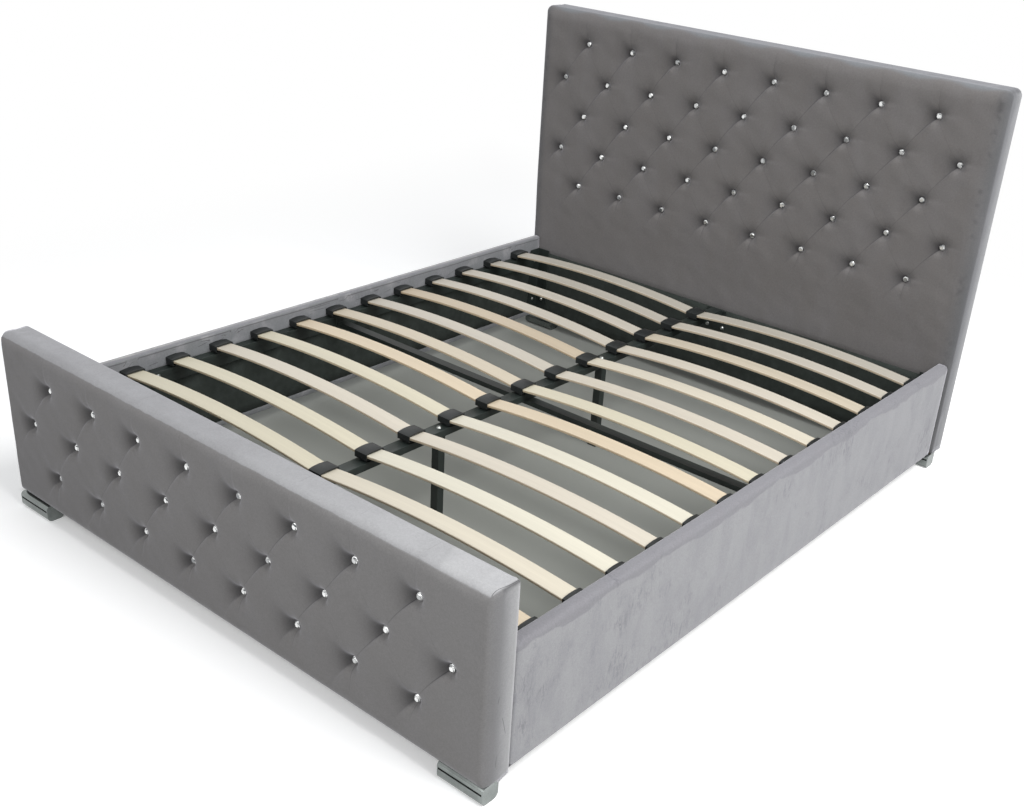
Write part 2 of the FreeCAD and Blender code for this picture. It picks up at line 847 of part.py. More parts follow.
def chrome_foot(front):
    """A right-hand cast foot: rounded at its front and below, with a groove along its front."""
    x0 = half_board - foot_length
    y0 = front - foot_front_reach
    y1 = y0 + foot_depth

    def at(y, z):
        return Vector(x0, y, z)
    near_middle = at(y0 + foot_round, foot_round)
    far_middle = at(y1 - foot_round, foot_round)
    near_low, near_side = at(y0 + foot_round, 0), at(y0, foot_round)
    far_low, far_side = at(y1 - foot_round, 0), at(y1, foot_round)
    brow_middle = at(front, foot_height - foot_front_reach)
    brow_top, brow_side = at(front, foot_height), at(y0, foot_height - foot_front_reach)
    section = outline(near_low, [
        far_low,
        round_corner(far_middle, far_low, far_side, foot_round),
        at(y1, foot_height),
        brow_top,
        round_corner(brow_middle, brow_top, brow_side, foot_front_reach),
        near_side,
        round_corner(near_middle, near_side, near_low, foot_round),
    ])
    block = Part.Face(section).extrude(Vector(foot_length, 0, 0))
    groove = box(x0 + foot_end_thick, half_board - foot_end_thick, y0 - over,
                 y0 + foot_groove_depth, foot_groove_bottom,
                 foot_groove_bottom + foot_groove_height)
    cuts = [groove]
    for x in foot_screw_places():
        mouth = Vector(x, foot_screw_line(front), -over)
        cuts.append(rod(mouth, upward, screw_head_radius + bolt_clearance, foot_counterbore + over))
    return block.cut(cuts)


feet = []
for front in (footboard_front, headboard_front):
    foot = chrome_foot(front)
    feet += [foot, mirrored(foot)]
nodes["chrome_feet"] = drilled_group(feet, every_fastener)

# Bolts and screws, one node for each kind

nodes["bracket_bolts"] = compound([f.solid for f in fasteners_brackets])
nodes["side_bar_bolts"] = compound([f.solid for f in fasteners_bars])
nodes["beam_bolts"] = compound([f.solid for f in fasteners_beam + fasteners_hangers])
nodes["foot_screws"] = compound([f.solid for f in fasteners_feet])

os.makedirs("parts", exist_ok=True)
for name, shape in nodes.items():
    shape.exportStep("parts/" + name + ".step")
    print("%-24s solids %2d  volume %.0f" % (name, len(shape.Solids), shape.Volume))
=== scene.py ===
"""Looks of the buttoned velvet bedstead: cloth, slats, steel, crystals, chrome and studio."""

from __future__ import annotations

import logging
import math
from dataclasses import dataclass, field
from enum import Enum

import bmesh
import bpy
import numpy as np
from bmesh.types import BMEdge, BMesh, BMFace, BMVert
from bpy.types import Material, Node, NodeSocket, NodeTree, Object
from mathutils import Matrix, Vector

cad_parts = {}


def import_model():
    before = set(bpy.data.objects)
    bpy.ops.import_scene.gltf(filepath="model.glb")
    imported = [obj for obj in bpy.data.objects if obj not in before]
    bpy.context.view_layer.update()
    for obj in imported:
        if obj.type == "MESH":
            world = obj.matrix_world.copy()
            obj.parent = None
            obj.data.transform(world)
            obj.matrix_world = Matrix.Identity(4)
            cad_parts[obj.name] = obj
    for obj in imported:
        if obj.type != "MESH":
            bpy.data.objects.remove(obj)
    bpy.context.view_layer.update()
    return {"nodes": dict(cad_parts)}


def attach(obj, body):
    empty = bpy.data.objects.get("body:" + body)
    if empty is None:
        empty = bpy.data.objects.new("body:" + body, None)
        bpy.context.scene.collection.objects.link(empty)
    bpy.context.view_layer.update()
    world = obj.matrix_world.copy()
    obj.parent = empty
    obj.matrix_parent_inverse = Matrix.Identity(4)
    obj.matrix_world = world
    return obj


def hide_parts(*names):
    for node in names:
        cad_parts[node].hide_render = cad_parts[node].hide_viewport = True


log = logging.getLogger("bedstead")

MM = 0.001
BODY = "bedstead"
WHITE = (1.0, 1.0, 1.0, 1.0)

# Main places of the bed, in metres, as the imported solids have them
HALF_BOARD = 0.840
HALF_WELL = 0.802
RAIL_OUTER = 0.835
RAIL_FRONT = -1.011
RAIL_BACK = 1.010
RAIL_TOP = 0.351
FLOOR_GAP = 0.045
LINING_LOW = 0.063
LINING_HIGH = 0.297
HEAD_LINING_Y = 1.0121
FOOT_LINING_Y = -1.0131
BACK_CLOTH_Y = 1.0939
TUFT_PITCH = 0.1835
ROW_PITCH = 0.1236
SEAT_DEPTH = 0.009

# How the cloth is told apart and marked
HAIR = 1e-4  # closer than this is the same place
NEAR_EDGE = 0.004  # a ring this near to the outline runs along the board's side or top
SUNK = 0.0045  # how far the boards' velvet lies back under their black lining
SEAM_FRONT, SEAM_LEAN = 0.0105, 0.0080  # the mitred seam's distance from the board's end, and its lean
SEAM_BLUR = 0.004
NO_LINE = 99.0  # millimetres, too far from any tuck to draw it


# Small helpers


def linear(code: str) -> tuple[float, float, float, float]:
    """Turn an sRGB hex colour to the linear values that a shader takes.

    Args:
        code: Colour such as "#7c7a79".

    Returns:
        Linear red, green, blue and an alpha of 1.
    """
    parts = [int(code[i:i + 2], 16) / 255 for i in (1, 3, 5)]
    turned = [c / 12.92 if c <= 0.04045 else ((c + 0.055) / 1.055) ** 2.4 for c in parts]
    return (turned[0], turned[1], turned[2], 1.0)


def smooth(t: np.ndarray) -> np.ndarray:
    """Ease from 0 to 1 over the unit range, flat outside it."""
    t = np.clip(t, 0.0, 1.0)
    return t * t * (3 - 2 * t)


def bell(t: np.ndarray) -> np.ndarray:
    """Give 1 at 0, and fade out on both sides of it by about 2."""
    return np.exp(-t ** 2)


def wander(points: np.ndarray, wavelength: float, seed: int) -> np.ndarray:
    """Make a soft random field from a few seeded waves.

    Args:
        points: Places, one row of X, Y, Z each.
        wavelength: Typical distance between two crests, in metres.
        seed: Number that picks the waves.

    Returns:
        One value of about -1 to 1 for each place.
    """
    rng = np.random.default_rng(seed)
    total = np.zeros(len(points))
    for _ in range(9):
        direction = rng.normal(size=3)
        direction /= np.linalg.norm(direction)
        length = wavelength * rng.uniform(0.6, 1.7)
        total += np.sin(points @ direction * (2 * math.pi / length) + rng.uniform(0, 6.3))
    return total / 4.0


def arc(x: float, z: float, radius: float, degrees: range) -> list[tuple[float, float]]:
    """List points on a circle.

    Args:
        x: X of its middle.
        z: Z of its middle.
        radius: Its radius.
        degrees: Angles of the points, from +X towards +Z.

    Returns:
        X and Z of each point.
    """
    turns = [math.radians(angle) for angle in degrees]
    return [(x + radius * math.cos(a), z + radius * math.sin(a)) for a in turns]


def add_node(tree: NodeTree, kind: str, inputs: dict | None = None, **settings) -> Node:
    """Add a shader node, set its options and fill or link its sockets.

    Args:
        tree: Node tree of the material.
        kind: Node type without its "ShaderNode" start.
        inputs: Socket name or number to a value, or to the output socket that feeds it.
        **settings: Options of the node itself.

    Returns:
        The new node.
    """
    node = tree.nodes.new("ShaderNode" + kind)
    for name, value in settings.items():
        setattr(node, name, value)
    for key, value in (inputs or {}).items():
        if isinstance(value, NodeSocket):
            tree.links.new(value, node.inputs[key])
        else:
            node.inputs[key].default_value = value
    return node


def new_material(name: str) -> tuple[Material, NodeTree, Node]:
    """Start a node material.

    Args:
        name: Name of the finish.

    Returns:
        The material, its node tree and its output node.
    """
    material = bpy.data.materials.new(name)
    material.use_nodes = True
    tree = material.node_tree
    tree.nodes.clear()
    return material, tree, add_node(tree, "OutputMaterial")


def attribute(tree: NodeTree, name: str) -> NodeSocket:
    """Read a number that the mesh carries under this name."""
    return add_node(tree, "Attribute", attribute_name=name).outputs["Fac"]


def object_place(tree: NodeTree, scale: tuple | None = None, turn: tuple = (0.0, 0.0, 0.0)) -> NodeSocket:
    """Give the place on the object, if wanted scaled and turned so that a pattern on it stretches.

    Args:
        tree: Node tree of the material.
        scale: Factors along X, Y and Z, or None for the plain place.
        turn: Rotation about X, Y and Z, in radians.

    Returns:
        Socket of the place.
    """
    spot = add_node(tree, "TexCoord").outputs["Object"]
    if scale is None:
        return spot
    return add_node(tree, "Mapping", {"Vector": spot, "Rotation": turn, "Scale": scale}).outputs[0]


def noise(tree: NodeTree, spot: NodeSocket, size_mm: float, detail: float, roughness: float = 0.5,
          distortion: float = 0.0) -> NodeSocket:
    """Make a cloudy pattern.

    Args:
        tree: Node tree of the material.
        spot: Place on the object.
        size_mm: Width of its features in millimetres.
        detail: Octaves of finer features.
        roughness: How strong the finer ones are.
        distortion: How far it is stirred.

    Returns:
        Socket of the pattern, about 0.3 to 0.7.
    """
    return add_node(tree, "TexNoise", {"Vector": spot, "Scale": 1.0 / (size_mm * MM), "Detail": detail,
                                       "Roughness": roughness, "Distortion": distortion}).outputs["Fac"]


def ramp(tree: NodeTree, value: NodeSocket, low: float, high: float, start: float = 0.0, end: float = 1.0,
         how: str = "LINEAR") -> NodeSocket:
    """Turn the range of a value to another one, and hold it inside that.

    Args:
        tree: Node tree of the material.
        value: Socket of the value.
        low: Value that gives the start.
        high: Value that gives the end.
        start: Result at the low value.
        end: Result at the high value.
        how: Interpolation between them.

    Returns:
        Socket of the result.
    """
    return add_node(tree, "MapRange", {0: value, 1: low, 2: high, 3: start, 4: end},
                    interpolation_type=how).outputs[0]


def calc(tree: NodeTree, how: str, *values: NodeSocket | float) -> NodeSocket:
    """Do one sum of the Math node's list with these values."""
    return add_node(tree, "Math", dict(enumerate(values)), operation=how).outputs[0]


def blend_colours(tree: NodeTree, factor: NodeSocket | float, first: object, second: object,
                  how: str = "MIX") -> NodeSocket:
    """Mix two colours.

    Args:
        tree: Node tree of the material.
        factor: Share of the second colour.
        first: Colour or socket.
        second: Colour or socket.
        how: Blend type of the mix.

    Returns:
        The mixed colour's socket.
    """
    mix = add_node(tree, "Mix", {0: factor, 6: first, 7: second}, data_type="RGBA", blend_type=how)
    return mix.outputs[2]


def seen_directly(tree: NodeTree) -> NodeSocket:
    """Tell the rays that the camera, a mirror or a glass sees from those that only carry light."""
    path = add_node(tree, "LightPath").outputs
    seen = calc(tree, "MAXIMUM", path["Is Camera Ray"], path["Is Glossy Ray"])
    return calc(tree, "MAXIMUM", seen, path["Is Transmission Ray"])


def settle(bm: BMesh, name: str) -> Object:
    """Turn a finished bmesh into a smooth-shaded object at the origin.

    Args:
        bm: The shape, in the row frame.
        name: Name of the piece.

    Returns:
        The linked object.
    """
    mesh = bpy.data.meshes.new(name)
    bm.to_mesh(mesh)
    bm.free()
    mesh.shade_smooth()
    piece = bpy.data.objects.new(name, mesh)
    bpy.context.scene.collection.objects.link(piece)
    return piece


def only(kind: type, geom: list) -> list:
    """Pick the vertices, edges or faces out of what a bmesh operator made."""
    return [g for g in geom if isinstance(g, kind)]


def places_of(piece: Object) -> np.ndarray:
    """Read a mesh's vertices as rows of X, Y, Z."""
    flat = np.zeros(len(piece.data.vertices) * 3)
    piece.data.vertices.foreach_get("co", flat)
    return flat.reshape(-1, 3)


def put_places(piece: Object, places: np.ndarray) -> None:
    """Write rows of X, Y, Z back to a mesh's vertices."""
    piece.data.vertices.foreach_set("co", places.ravel())
    piece.data.update()


def paint(piece: Object, name: str, values: np.ndarray) -> None:
    """Store one number a vertex under a name that the materials read."""
    layer = piece.data.attributes.new(name, "FLOAT", "POINT")
    layer.data.foreach_set("value", values.astype(np.float32))


def dress(piece: Object, material: Material, rounding: float = 0.0, segments: int = 2) -> None:
    """Give a piece one material in place of those that it has, and round its edges.

    Args:
        piece: The object.
        material: Its finish.
        rounding: Width of a live bevel in metres, or 0 for none.
        segments: Steps across the bevel.
    """
    piece.data.materials.clear()
    piece.data.materials.append(material)
    if not rounding:
        return
    weld = piece.modifiers.new("joined_facets", "WELD")
    weld.merge_threshold = 0.00001
    bevel = piece.modifiers.new("broken_edges", "BEVEL")
    bevel.width = rounding
    bevel.segments = segments
    bevel.limit_method = "ANGLE"
    bevel.angle_limit = math.radians(40)
    bevel.harden_normals = False


# Finishes


@dataclass(frozen=True)
class VelvetFinish:
    """Short-pile polyester velvet: matt and deep seen straight on, paler where its pile lies away.

    The mesh attributes say how the pile lies and where light and shade are painted: "nap" is 1 over the
    wrapped top with a ragged border, a pale tone that is partly the lay of the pile and partly painted sheen
    and top light; "flank" is 1 on the wrapped sides and the rails' inner band, a darker tone that on the
    boards is painted shade, also on their face near the ends; "edge" is 1 on thin edges and where painted
    highlights lighten the cloth; and "hollow" is 1 in painted shade round the buttons and on the footboard's
    face, and where the pile is rubbed. "fold" and "pleat" are distances from a tuck's line, in millimetres,
    and "fold_ink" and "pleat_ink" say how dark the painted shadow along that line is.
    """

    name: str
    deep: str
    pale: str
    flank: str
    bright: str
    brushed: str
    # Colour of the painted shadows, and of crushed and rubbed pile
    shadow_and_crush: str = "#343335"
    stroked: str = "#75757a"
    patch_mm: float = 90.0
    patch_strength: float = 0.25
    stroke_strength: float = 0.0
    ragged: float = 0.3
    soft: float = 0.16
    sheen: float = 0.6

    def material(self) -> Material:
        """Build the cloth's material."""
        made, tree, out = new_material(self.name)
        spot = object_place(tree)
        colour = self._brushed(tree, spot, self._lay_of_pile(tree, spot))
        # Pile seen as a fine grain: 1.5 mm tufts, coarser than the real 0.3 mm so that they show
        grain = noise(tree, spot, 1.5, 2.0, 0.7)
        # Tufts lean in small groups, 5 mm wide
        group = noise(tree, spot, 5, 3.0, 0.75)
        for pattern, darkest in ((grain, 0.9), (group, 0.92)):
            colour = blend_colours(tree, 1.0, colour, ramp(tree, pattern, 0.3, 0.7, darkest, 1.08), "MULTIPLY")
        fold, pleat = self._tuck_line(tree, "fold", 1.1), self._tuck_line(tree, "pleat", 0.8)
        # Painted shade round the buttons and rubbed pile, from "hollow", and painted shadow lines along the tucks
        for dark in (attribute(tree, "hollow"), fold, pleat):
            colour = blend_colours(tree, dark, colour, linear(self.shadow_and_crush))
        bump = add_node(tree, "Bump", {"Strength": 0.3, "Distance": 0.0005, "Height": grain})
        cloth = add_node(tree, "BsdfPrincipled", {
            "Base Color": colour, "Roughness": 0.92, "Specular IOR Level": 0.1, "Sheen Weight": self.sheen,
            "Sheen Roughness": 0.45, "Sheen Tint": linear("#e9e8ef"), "Normal": bump.outputs[0]})
        tree.links.new(cloth.outputs[0], out.inputs[0])
        return made

    def _lay_of_pile(self, tree: NodeTree, spot: NodeSocket) -> NodeSocket:
        """Colour the cloth by how its pile lies and by painted sheen, shade and highlights: deep in front, paler over
        the top and sides.

        Args:
            tree: Node tree of the material.
            spot: Place on the object.

        Returns:
            Colour socket.
        """
        shifted = calc(tree, "MULTIPLY_ADD", noise(tree, spot, 26, 3.0, 0.6), self.ragged * 2, -self.ragged)
        lay = calc(tree, "ADD", attribute(tree, "nap_and_sheen"), shifted)
        lay = ramp(tree, lay, 0.5 - self.soft, 0.5 + self.soft, how="SMOOTHSTEP")
        colour = blend_colours(tree, attribute(tree, "flank"), linear(self.deep), linear(self.flank))
        colour = blend_colours(tree, lay, colour, linear(self.pale))
        return blend_colours(tree, attribute(tree, "edge"), colour, linear(self.bright))

    def _brushed(self, tree: NodeTree, spot: NodeSocket, colour: NodeSocket) -> NodeSocket:
        """Add hand-brushed patches, and strokes 9 by 30 mm where the pile was rubbed.

        Args:
            tree: Node tree of the material.
            spot: Place on the object.
            colour: Colour so far.

        Returns:
            Colour socket.
        """
        turned = object_place(tree, (1.0, 1.0, 0.4), (0.5, 0.35, 0.0))
        patch = ramp(tree, noise(tree, turned, self.patch_mm, 5.0, 0.62, 0.5), 0.42, 0.66)
        patch = calc(tree, "MULTIPLY", patch, self.patch_strength)
        colour = blend_colours(tree, patch, colour, linear(self.brushed))
        if not self.stroke_strength:
            return colour
        drawn = object_place(tree, (1.0, 1.0, 0.3), (-0.55, 0.0, 0.0))
        stroke = ramp(tree, noise(tree, drawn, 9, 4.0, 0.68, 0.8), 0.47, 0.64)
        rubbed = ramp(tree, noise(tree, spot, 150, 3.0, 0.7), 0.50, 0.62, end=self.stroke_strength)
        return blend_colours(tree, calc(tree, "MULTIPLY", stroke, rubbed), colour, linear(self.stroked))

    @staticmethod
    def _tuck_line(tree: NodeTree, line: str, wide: float) -> NodeSocket:
        """Draw the thin shadow of a tuck.

        Args:
            tree: Node tree of the material.
            line: Attribute that holds the distance from the tuck, in millimetres.
            wide: Half width of the line in millimetres.

        Returns:
            Socket that is above 0 on the line only.
        """
        away = calc(tree, "ABSOLUTE", attribute(tree, line))
        mark = ramp(tree, away, wide * 0.2, wide * 1.4, 1.0, 0.0, "SMOOTHSTEP")
        return calc(tree, "MULTIPLY", mark, attribute(tree, line + "_ink"))


class SlatTone(Enum):
    """Tones of sliced birch that the slats have; the darkest, on the slats nearest the head end, are partly painted
    shade.
    """

    WHITE = "#dad5c4"
    CREAM = "#d9d1bf"
    IVORY = "#d2cabb"
    STRAW = "#d4cdb7"
    PEACH = "#d6c6ad"
    BUFF = "#cdc2ae"
    SAND = "#c7b8a1"
    GREY = "#c7c0b3"
    STONE = "#bcb6aa"


@dataclass(frozen=True)
class BirchFinish:
    """Bent birch plywood under clear lacquer: pale, close-grained, with a soft shine."""

    tone: SlatTone
    plies: str = "#c3a983"

    def material(self) -> Material:
        """Build the wood's material. The grain runs along the slat, in streaks 2.4 mm wide."""
        made, tree, out = new_material("lacquered_birch_" + self.tone.name.lower())
        drawn = object_place(tree, (0.02, 1.0, 0.25))
        grain, broad = noise(tree, drawn, 2.4, 4.0, 0.6, 0.3), noise(tree, drawn, 22, 2.0)
        colour = linear(self.tone.value)
        for share in (ramp(tree, grain, 0.35, 0.65, 0.965, 1.02), ramp(tree, broad, 0.3, 0.7, 0.965, 1.025)):
            colour = blend_colours(tree, 1.0, colour, share, "MULTIPLY")
        # The long edges show the plies' glue lines, so they look darker
        parts = add_node(tree, "SeparateXYZ", {0: add_node(tree, "NewGeometry").outputs["Normal"]})
        side = ramp(tree, calc(tree, "ABSOLUTE", parts.outputs[1]), 0.75, 0.95, 0.0, 0.5)
        colour = blend_colours(tree, side, colour, linear(self.plies))
        bump = add_node(tree, "Bump", {"Strength": 0.12, "Distance": 0.0003, "Height": grain})
        wood = add_node(tree, "BsdfPrincipled", {
            "Base Color": colour, "Roughness": 0.48, "IOR": 1.5, "Specular IOR Level": 0.4,
            "Coat Weight": 0.12, "Coat Roughness": 0.3, "Normal": bump.outputs[0]})
        tree.links.new(wood.outputs[0], out.inputs[0])
        return made


@dataclass(frozen=True)
class CrystalFinish:
    """Cut crystal with foil behind it: each facet's colour is a painted reflection, from a dark to a bright part of
    the room.
    """

    bright: str = "#eeefee"
    dark: str = "#6a6d6f"

    def material(self) -> Material:
        """Build the crystal's material. The face attribute "facet" says how bright a facet's painted reflection is.
        """
        made, tree, out = new_material("foiled_cut_crystal")
        step = ramp(tree, attribute(tree, "facet"), 0.15, 0.55)
        colour = blend_colours(tree, step, linear(self.dark), linear(self.bright))
        # Handling leaves the facets a little uneven, in spots 2 mm wide
        rough = ramp(tree, noise(tree, object_place(tree), 2, 1.0), 0.0, 1.0, 0.04, 0.16)
        stone = add_node(tree, "BsdfPrincipled", {
            "Base Color": colour, "Metallic": 0.55, "Roughness": rough, "Coat Weight": 1.0, "Coat Roughness": 0.03})
        tree.links.new(stone.outputs[0], out.inputs[0])
        return made


@dataclass(frozen=True)
class PlainFinish:
    """A hard finish of one colour with a fine texture, told by its grain size and depth."""

    name: str
    colour: str
    second: str
    roughness: float
    metallic: float = 0.0
    grain_mm: float = 1.0
    grain_depth_mm: float = 0.05
    grain_strength: float = 0.3
    mottle_mm: float = 60.0
    stretch: tuple[float, float, float] = (1.0, 1.0, 1.0)

    def material(self) -> Material:
        """Build the finish's material."""
        made, tree, out = new_material(self.name)
        drawn = object_place(tree, self.stretch)
        share = ramp(tree, noise(tree, drawn, self.mottle_mm, 3.0), 0.38, 0.68)
        colour = blend_colours(tree, share, linear(self.colour), linear(self.second))
        grain = noise(tree, drawn, self.grain_mm, 2.0)
        rough = ramp(tree, grain, 0.3, 0.7, self.roughness * 0.85, min(1.0, self.roughness * 1.15))
        bump = add_node(tree, "Bump", {"Strength": self.grain_strength, "Distance": self.grain_depth_mm * MM,
                                       "Height": grain})
        shell = add_node(tree, "BsdfPrincipled", {
            "Base Color": colour, "Metallic": self.metallic, "Roughness": rough, "Normal": bump.outputs[0]})
        tree.links.new(shell.outputs[0], out.inputs[0])
        return made


# Upholstered boards


@dataclass
class TuftedBoard:
    """A head- or footboard in velvet, drawn in by crystal buttons. Sizes are in metres."""

    name: str
    front: float
    back: float
    top: float
    rows: int
    top_row: float
    zone_low: float
    velvet: VelvetFinish
    seed: int
    crown: float = 0.012
    shoulder: float = 0.045
    side_shoulder: float = 0.045
    lip: float = 0.016
    border: float = 0.010
    scallop: float = 0.0
    corner: float = 0.004
    lining_in_front: bool = False
    lining_behind: bool = False
    seat_above: float = 0.0075
    droop: float = 0.0
    cell_across: float = 0.0038
    cell_down: float = 0.0050
    fold_depth: float = 0.0042
    table: list[list[tuple[float, float]]] = field(default_factory=list)

    # Distances from the outline of the rings between the flat sheet and the board's sides
    RING_INSETS = (0.008, 0.0055, 0.0034, 0.0018, 0.0008, 0.0002, 0.0)
    SIDE_STEPS = 9
    # The turn over the back edge: how far each ring lies outside the last, and before the back
    BACK_TURN = ((-0.0006, 0.0018), (-0.0018, 0.0004), (-0.0050, 0.0))
    PLAIN_CELL = 0.012
    HANG_HIGH = 0.12
    BUTTON_REACH = 0.17
    SEAT_RADIUS = 0.0095
    GEM_RADIUS = 0.0098
    # Steps of a crystal from its girdle out: height, growth and turn
    GEM_STEPS = ((0.0024, 1.0, 0.0), (0.0032, 0.84, math.pi / 8), (0.0024, 0.66, math.pi / 8))
    # Painted shadow lines of creases in the sides: lower and upper end, place from front to back, lean
    CREASES = ((0.085, 0.118, 0.42, 0.05), (0.150, 0.205, 0.62, -0.30), (0.235, 0.262, 0.35, 0.2))

    def __post_init__(self) -> None:
        """Work out where every button is, row by row."""
        for row in range(self.rows):
            count = 8 + row % 2
            z = self.top_row - row * ROW_PITCH
            self.table.append([(TUFT_PITCH * (i - (count - 1) / 2), z) for i in range(count)])

    @property
    def hemmed(self) -> bool:
        """Say whether the top corners are square, with a mitred seam at the right one."""
        return self.corner < 0.01

    def _depth(self, p: np.ndarray) -> np.ndarray:
        """Give how deep each place lies, from 0 at the front to 1 at the back."""
        return np.clip((p[:, 1] - self.front) / (self.back - self.front), 0, 1)

    @staticmethod
    def _from_end(p: np.ndarray) -> np.ndarray:
        """Give each place's distance from the nearer end of the board."""
        return HALF_BOARD - np.abs(p[:, 0])

    @staticmethod
    def _seam(deep: np.ndarray) -> np.ndarray:
        """Give how far inside the board's end its mitred hem runs, from the front edge to the back one."""
        return SEAM_FRONT - SEAM_LEAN * deep

    @staticmethod
    def _marks(stops: list[float], cell: float) -> np.ndarray:
        """Divide the stretches between some stops into even cells.

        Args:
            stops: Places that each get a line, in rising order.
            cell: Wanted cell size.

        Returns:
            All lines, in rising order.
        """
        lines: list[float] = [stops[0]]
        for low, high in zip(stops, stops[1:]):
            count = max(1, round((high - low) / cell))
            lines += [low + (high - low) * (i + 1) / count for i in range(count)]
        return np.array(lines)

    def cover(self) -> Object:
        """Make the velvet: a fine front sheet, drawn round the edges and closed behind."""
        inset = self.RING_INSETS[0]
        half, low = HALF_BOARD - inset, FLOOR_GAP + inset
        start = max(low, self.zone_low)
        columns = [TUFT_PITCH / 2 * i for i in range(-8, 9)]
        rows = [self.table[-1][0][1] + ROW_PITCH * i for i in range(self.rows)]
        xs = self._marks([-half, *columns, half], self.cell_across)
        zs = self._marks([start, *rows, self.top - inset], self.cell_down)
        if start > low:
            zs = np.concatenate([self._marks([low, start], self.PLAIN_CELL)[:-1], zs])
        nx, nz = len(xs) - 1, len(zs) - 1
        bm = bmesh.new()
        bmesh.ops.create_grid(bm, x_segments=nx, y_segments=nz, size=1.0)
        for v in bm.verts:
            i, j = round((v.co.x + 1) / 2 * nx), round((v.co.y + 1) / 2 * nz)
            v.co = (xs[i], self.front, zs[j])
        for near, far in zip(self.RING_INSETS, self.RING_INSETS[1:]):
            self._spread(bm, near - far)
        rim_y = self.front + self.lip
        depth = self.back - rim_y - 0.004
        for i in range(self.SIDE_STEPS):
            self._spread(bm, 0.0, rim_y + depth * (i + 1) / self.SIDE_STEPS)
        for out, before in self.BACK_TURN:
            self._spread(bm, out, self.back - before)
        bmesh.ops.holes_fill(bm, edges=[e for e in bm.edges if e.is_boundary], sides=0)
        if self.lining_behind:
            self._sink_back(bm)
        bmesh.ops.recalc_face_normals(bm, faces=bm.faces)
        piece = settle(bm, self.name + "_velvet")
        self._sculpt(piece)
        return piece

    @staticmethod
    def _spread(bm: BMesh, out: float, y: float | None = None) -> None:
        """Extrude the open edge outwards, or back to a given Y.

        Args:
            bm: The growing cover, with one open edge.
            out: How far the new edge lies outside the old one.
            y: Y of the new edge, or None to keep it.
        """
        edges = [e for e in bm.edges if e.is_boundary]
        fresh = only(BMVert, bmesh.ops.extrude_edge_only(bm, edges=edges)["geom"])
        x1 = max(v.co.x for v in fresh)
        z0, z1 = min(v.co.z for v in fresh), max(v.co.z for v in fresh)
        for v in fresh:
            if abs(v.co.x) > x1 - 1e-5:
                v.co.x += math.copysign(1.0, v.co.x) * out
            if v.co.z > z1 - 1e-5:
                v.co.z += out
            elif v.co.z < z0 + 1e-5:
                v.co.z -= out
            if y is not None:
                v.co.y = y

    @staticmethod
    def _sink_back(bm: BMesh) -> None:
        """Sink the lower part of the back, where black lining covers the frame.

        Args:
            bm: The closed cover.
        """
        edge, high = HALF_WELL + MM, LINING_HIGH + MM
        for place, normal in (((edge, 0, 0), (1, 0, 0)), ((-edge, 0, 0), (1, 0, 0)), ((0, 0, high), (0, 0, 1))):
            back = [f for f in bm.faces if len(f.verts) > 40 or f.calc_area() > 0.02]
            geom = list({*back, *(e for f in back for e in f.edges), *(v for f in back for v in f.verts)})
            bmesh.ops.bisect_plane(bm, geom=geom, plane_co=place, plane_no=normal, dist=1e-6)
        window = [f for f in bm.faces if f.calc_area() > 0.1 and f.calc_center_median().z < LINING_HIGH
                  and abs(f.calc_center_median().x) < 0.7]
        made = bmesh.ops.extrude_face_region(bm, geom=window)["geom"]
        bmesh.ops.delete(bm, geom=window, context="FACES")
        for v in only(BMVert, made):
            v.co.y -= SUNK

    def _sculpt(self, piece: Object) -> None:
        """Crown the front, pull in the buttons, lay the folds and paint the lay of the pile, with painted light and
        shade.

        Args:
            piece: The cover, still with a flat front and even sides.
        """
        p = places_of(piece)
        z = p[:, 2]
        rim_y = self.front + self.lip
        face = p[:, 1] < rim_y - HAIR
        side, over = self._from_end(p), np.minimum(self.top - z, z - FLOOR_GAP)
        inside = np.minimum(side, over)
        # The headboard's plain part below the buttons is flatter
        swell = smooth((z - self.zone_low + 0.12) / 0.24) if self.zone_low > FLOOR_GAP else 1.0
        run = np.clip(np.minimum(side / self.side_shoulder, over / self.shoulder), 0, 1)
        dome = (self.lip + self.crown * swell) * np.sqrt(np.clip(1 - (1 - run) ** 2, 0, 1))
        marks = {name: np.zeros(len(p)) for name in ("hollow", "fold", "fold_ink", "pleat", "pleat_ink")}
        for line in ("fold", "pleat"):
            marks[line] += NO_LINE
        pull = self._pull_buttons(p, marks)
        flat = p * [1, 0, 1]
        loose = 0.0012 * wander(flat, 0.21, self.seed) + 0.0006 * wander(flat, 0.07, self.seed + 1)
        y = rim_y - dome + (pull + loose) * smooth(inside / 0.03)
        if self.lining_in_front:
            under = (np.abs(p[:, 0]) < HALF_WELL + MM) & (z < LINING_HIGH + MM)
            y = np.where(under, self.front + SUNK, y)
        # The cloth never sinks below the crystals' seats
        y = np.where(inside > 0.02, np.minimum(y, self.front + SEAT_DEPTH + 0.0004), y)
        p[face, 1] = y[face]
        self._wrinkle_edges(p, ~face)
        self._paint_pile(piece, p, face, marks)
        self._round_corners(p)
        self._hang(p)
        put_places(piece, p)

    def _round_corners(self, p: np.ndarray) -> None:
        """Bend the square top corners of every ring and row into arcs.

        Args:
            p: Places of the vertices, changed in place.
        """
        across = np.abs(p[:, 0]) - (HALF_BOARD - self.corner)
        up = p[:, 2] - (self.top - self.corner)
        there = (across > 0) & (up > 0)
        shrink = np.maximum(across, up)[there] / np.maximum(np.hypot(across, up)[there], 1e-9)
        p[there, 0] = np.sign(p[there, 0]) * (HALF_BOARD - self.corner + across[there] * shrink)
        p[there, 2] = self.top - self.corner + up[there] * shrink

    def _hang(self, p: np.ndarray) -> None:
        """Let the cloth hang below the board along its front, most at its right end.

        Args:
            p: Places of the vertices, changed in place.
        """
        low = smooth(1 - (p[:, 2] - FLOOR_GAP) / self.HANG_HIGH)
        ahead = 1 - self._depth(p)
        p[:, 2] -= self.droop * low * ahead * (p[:, 0] + HALF_BOARD) / (2 * HALF_BOARD)

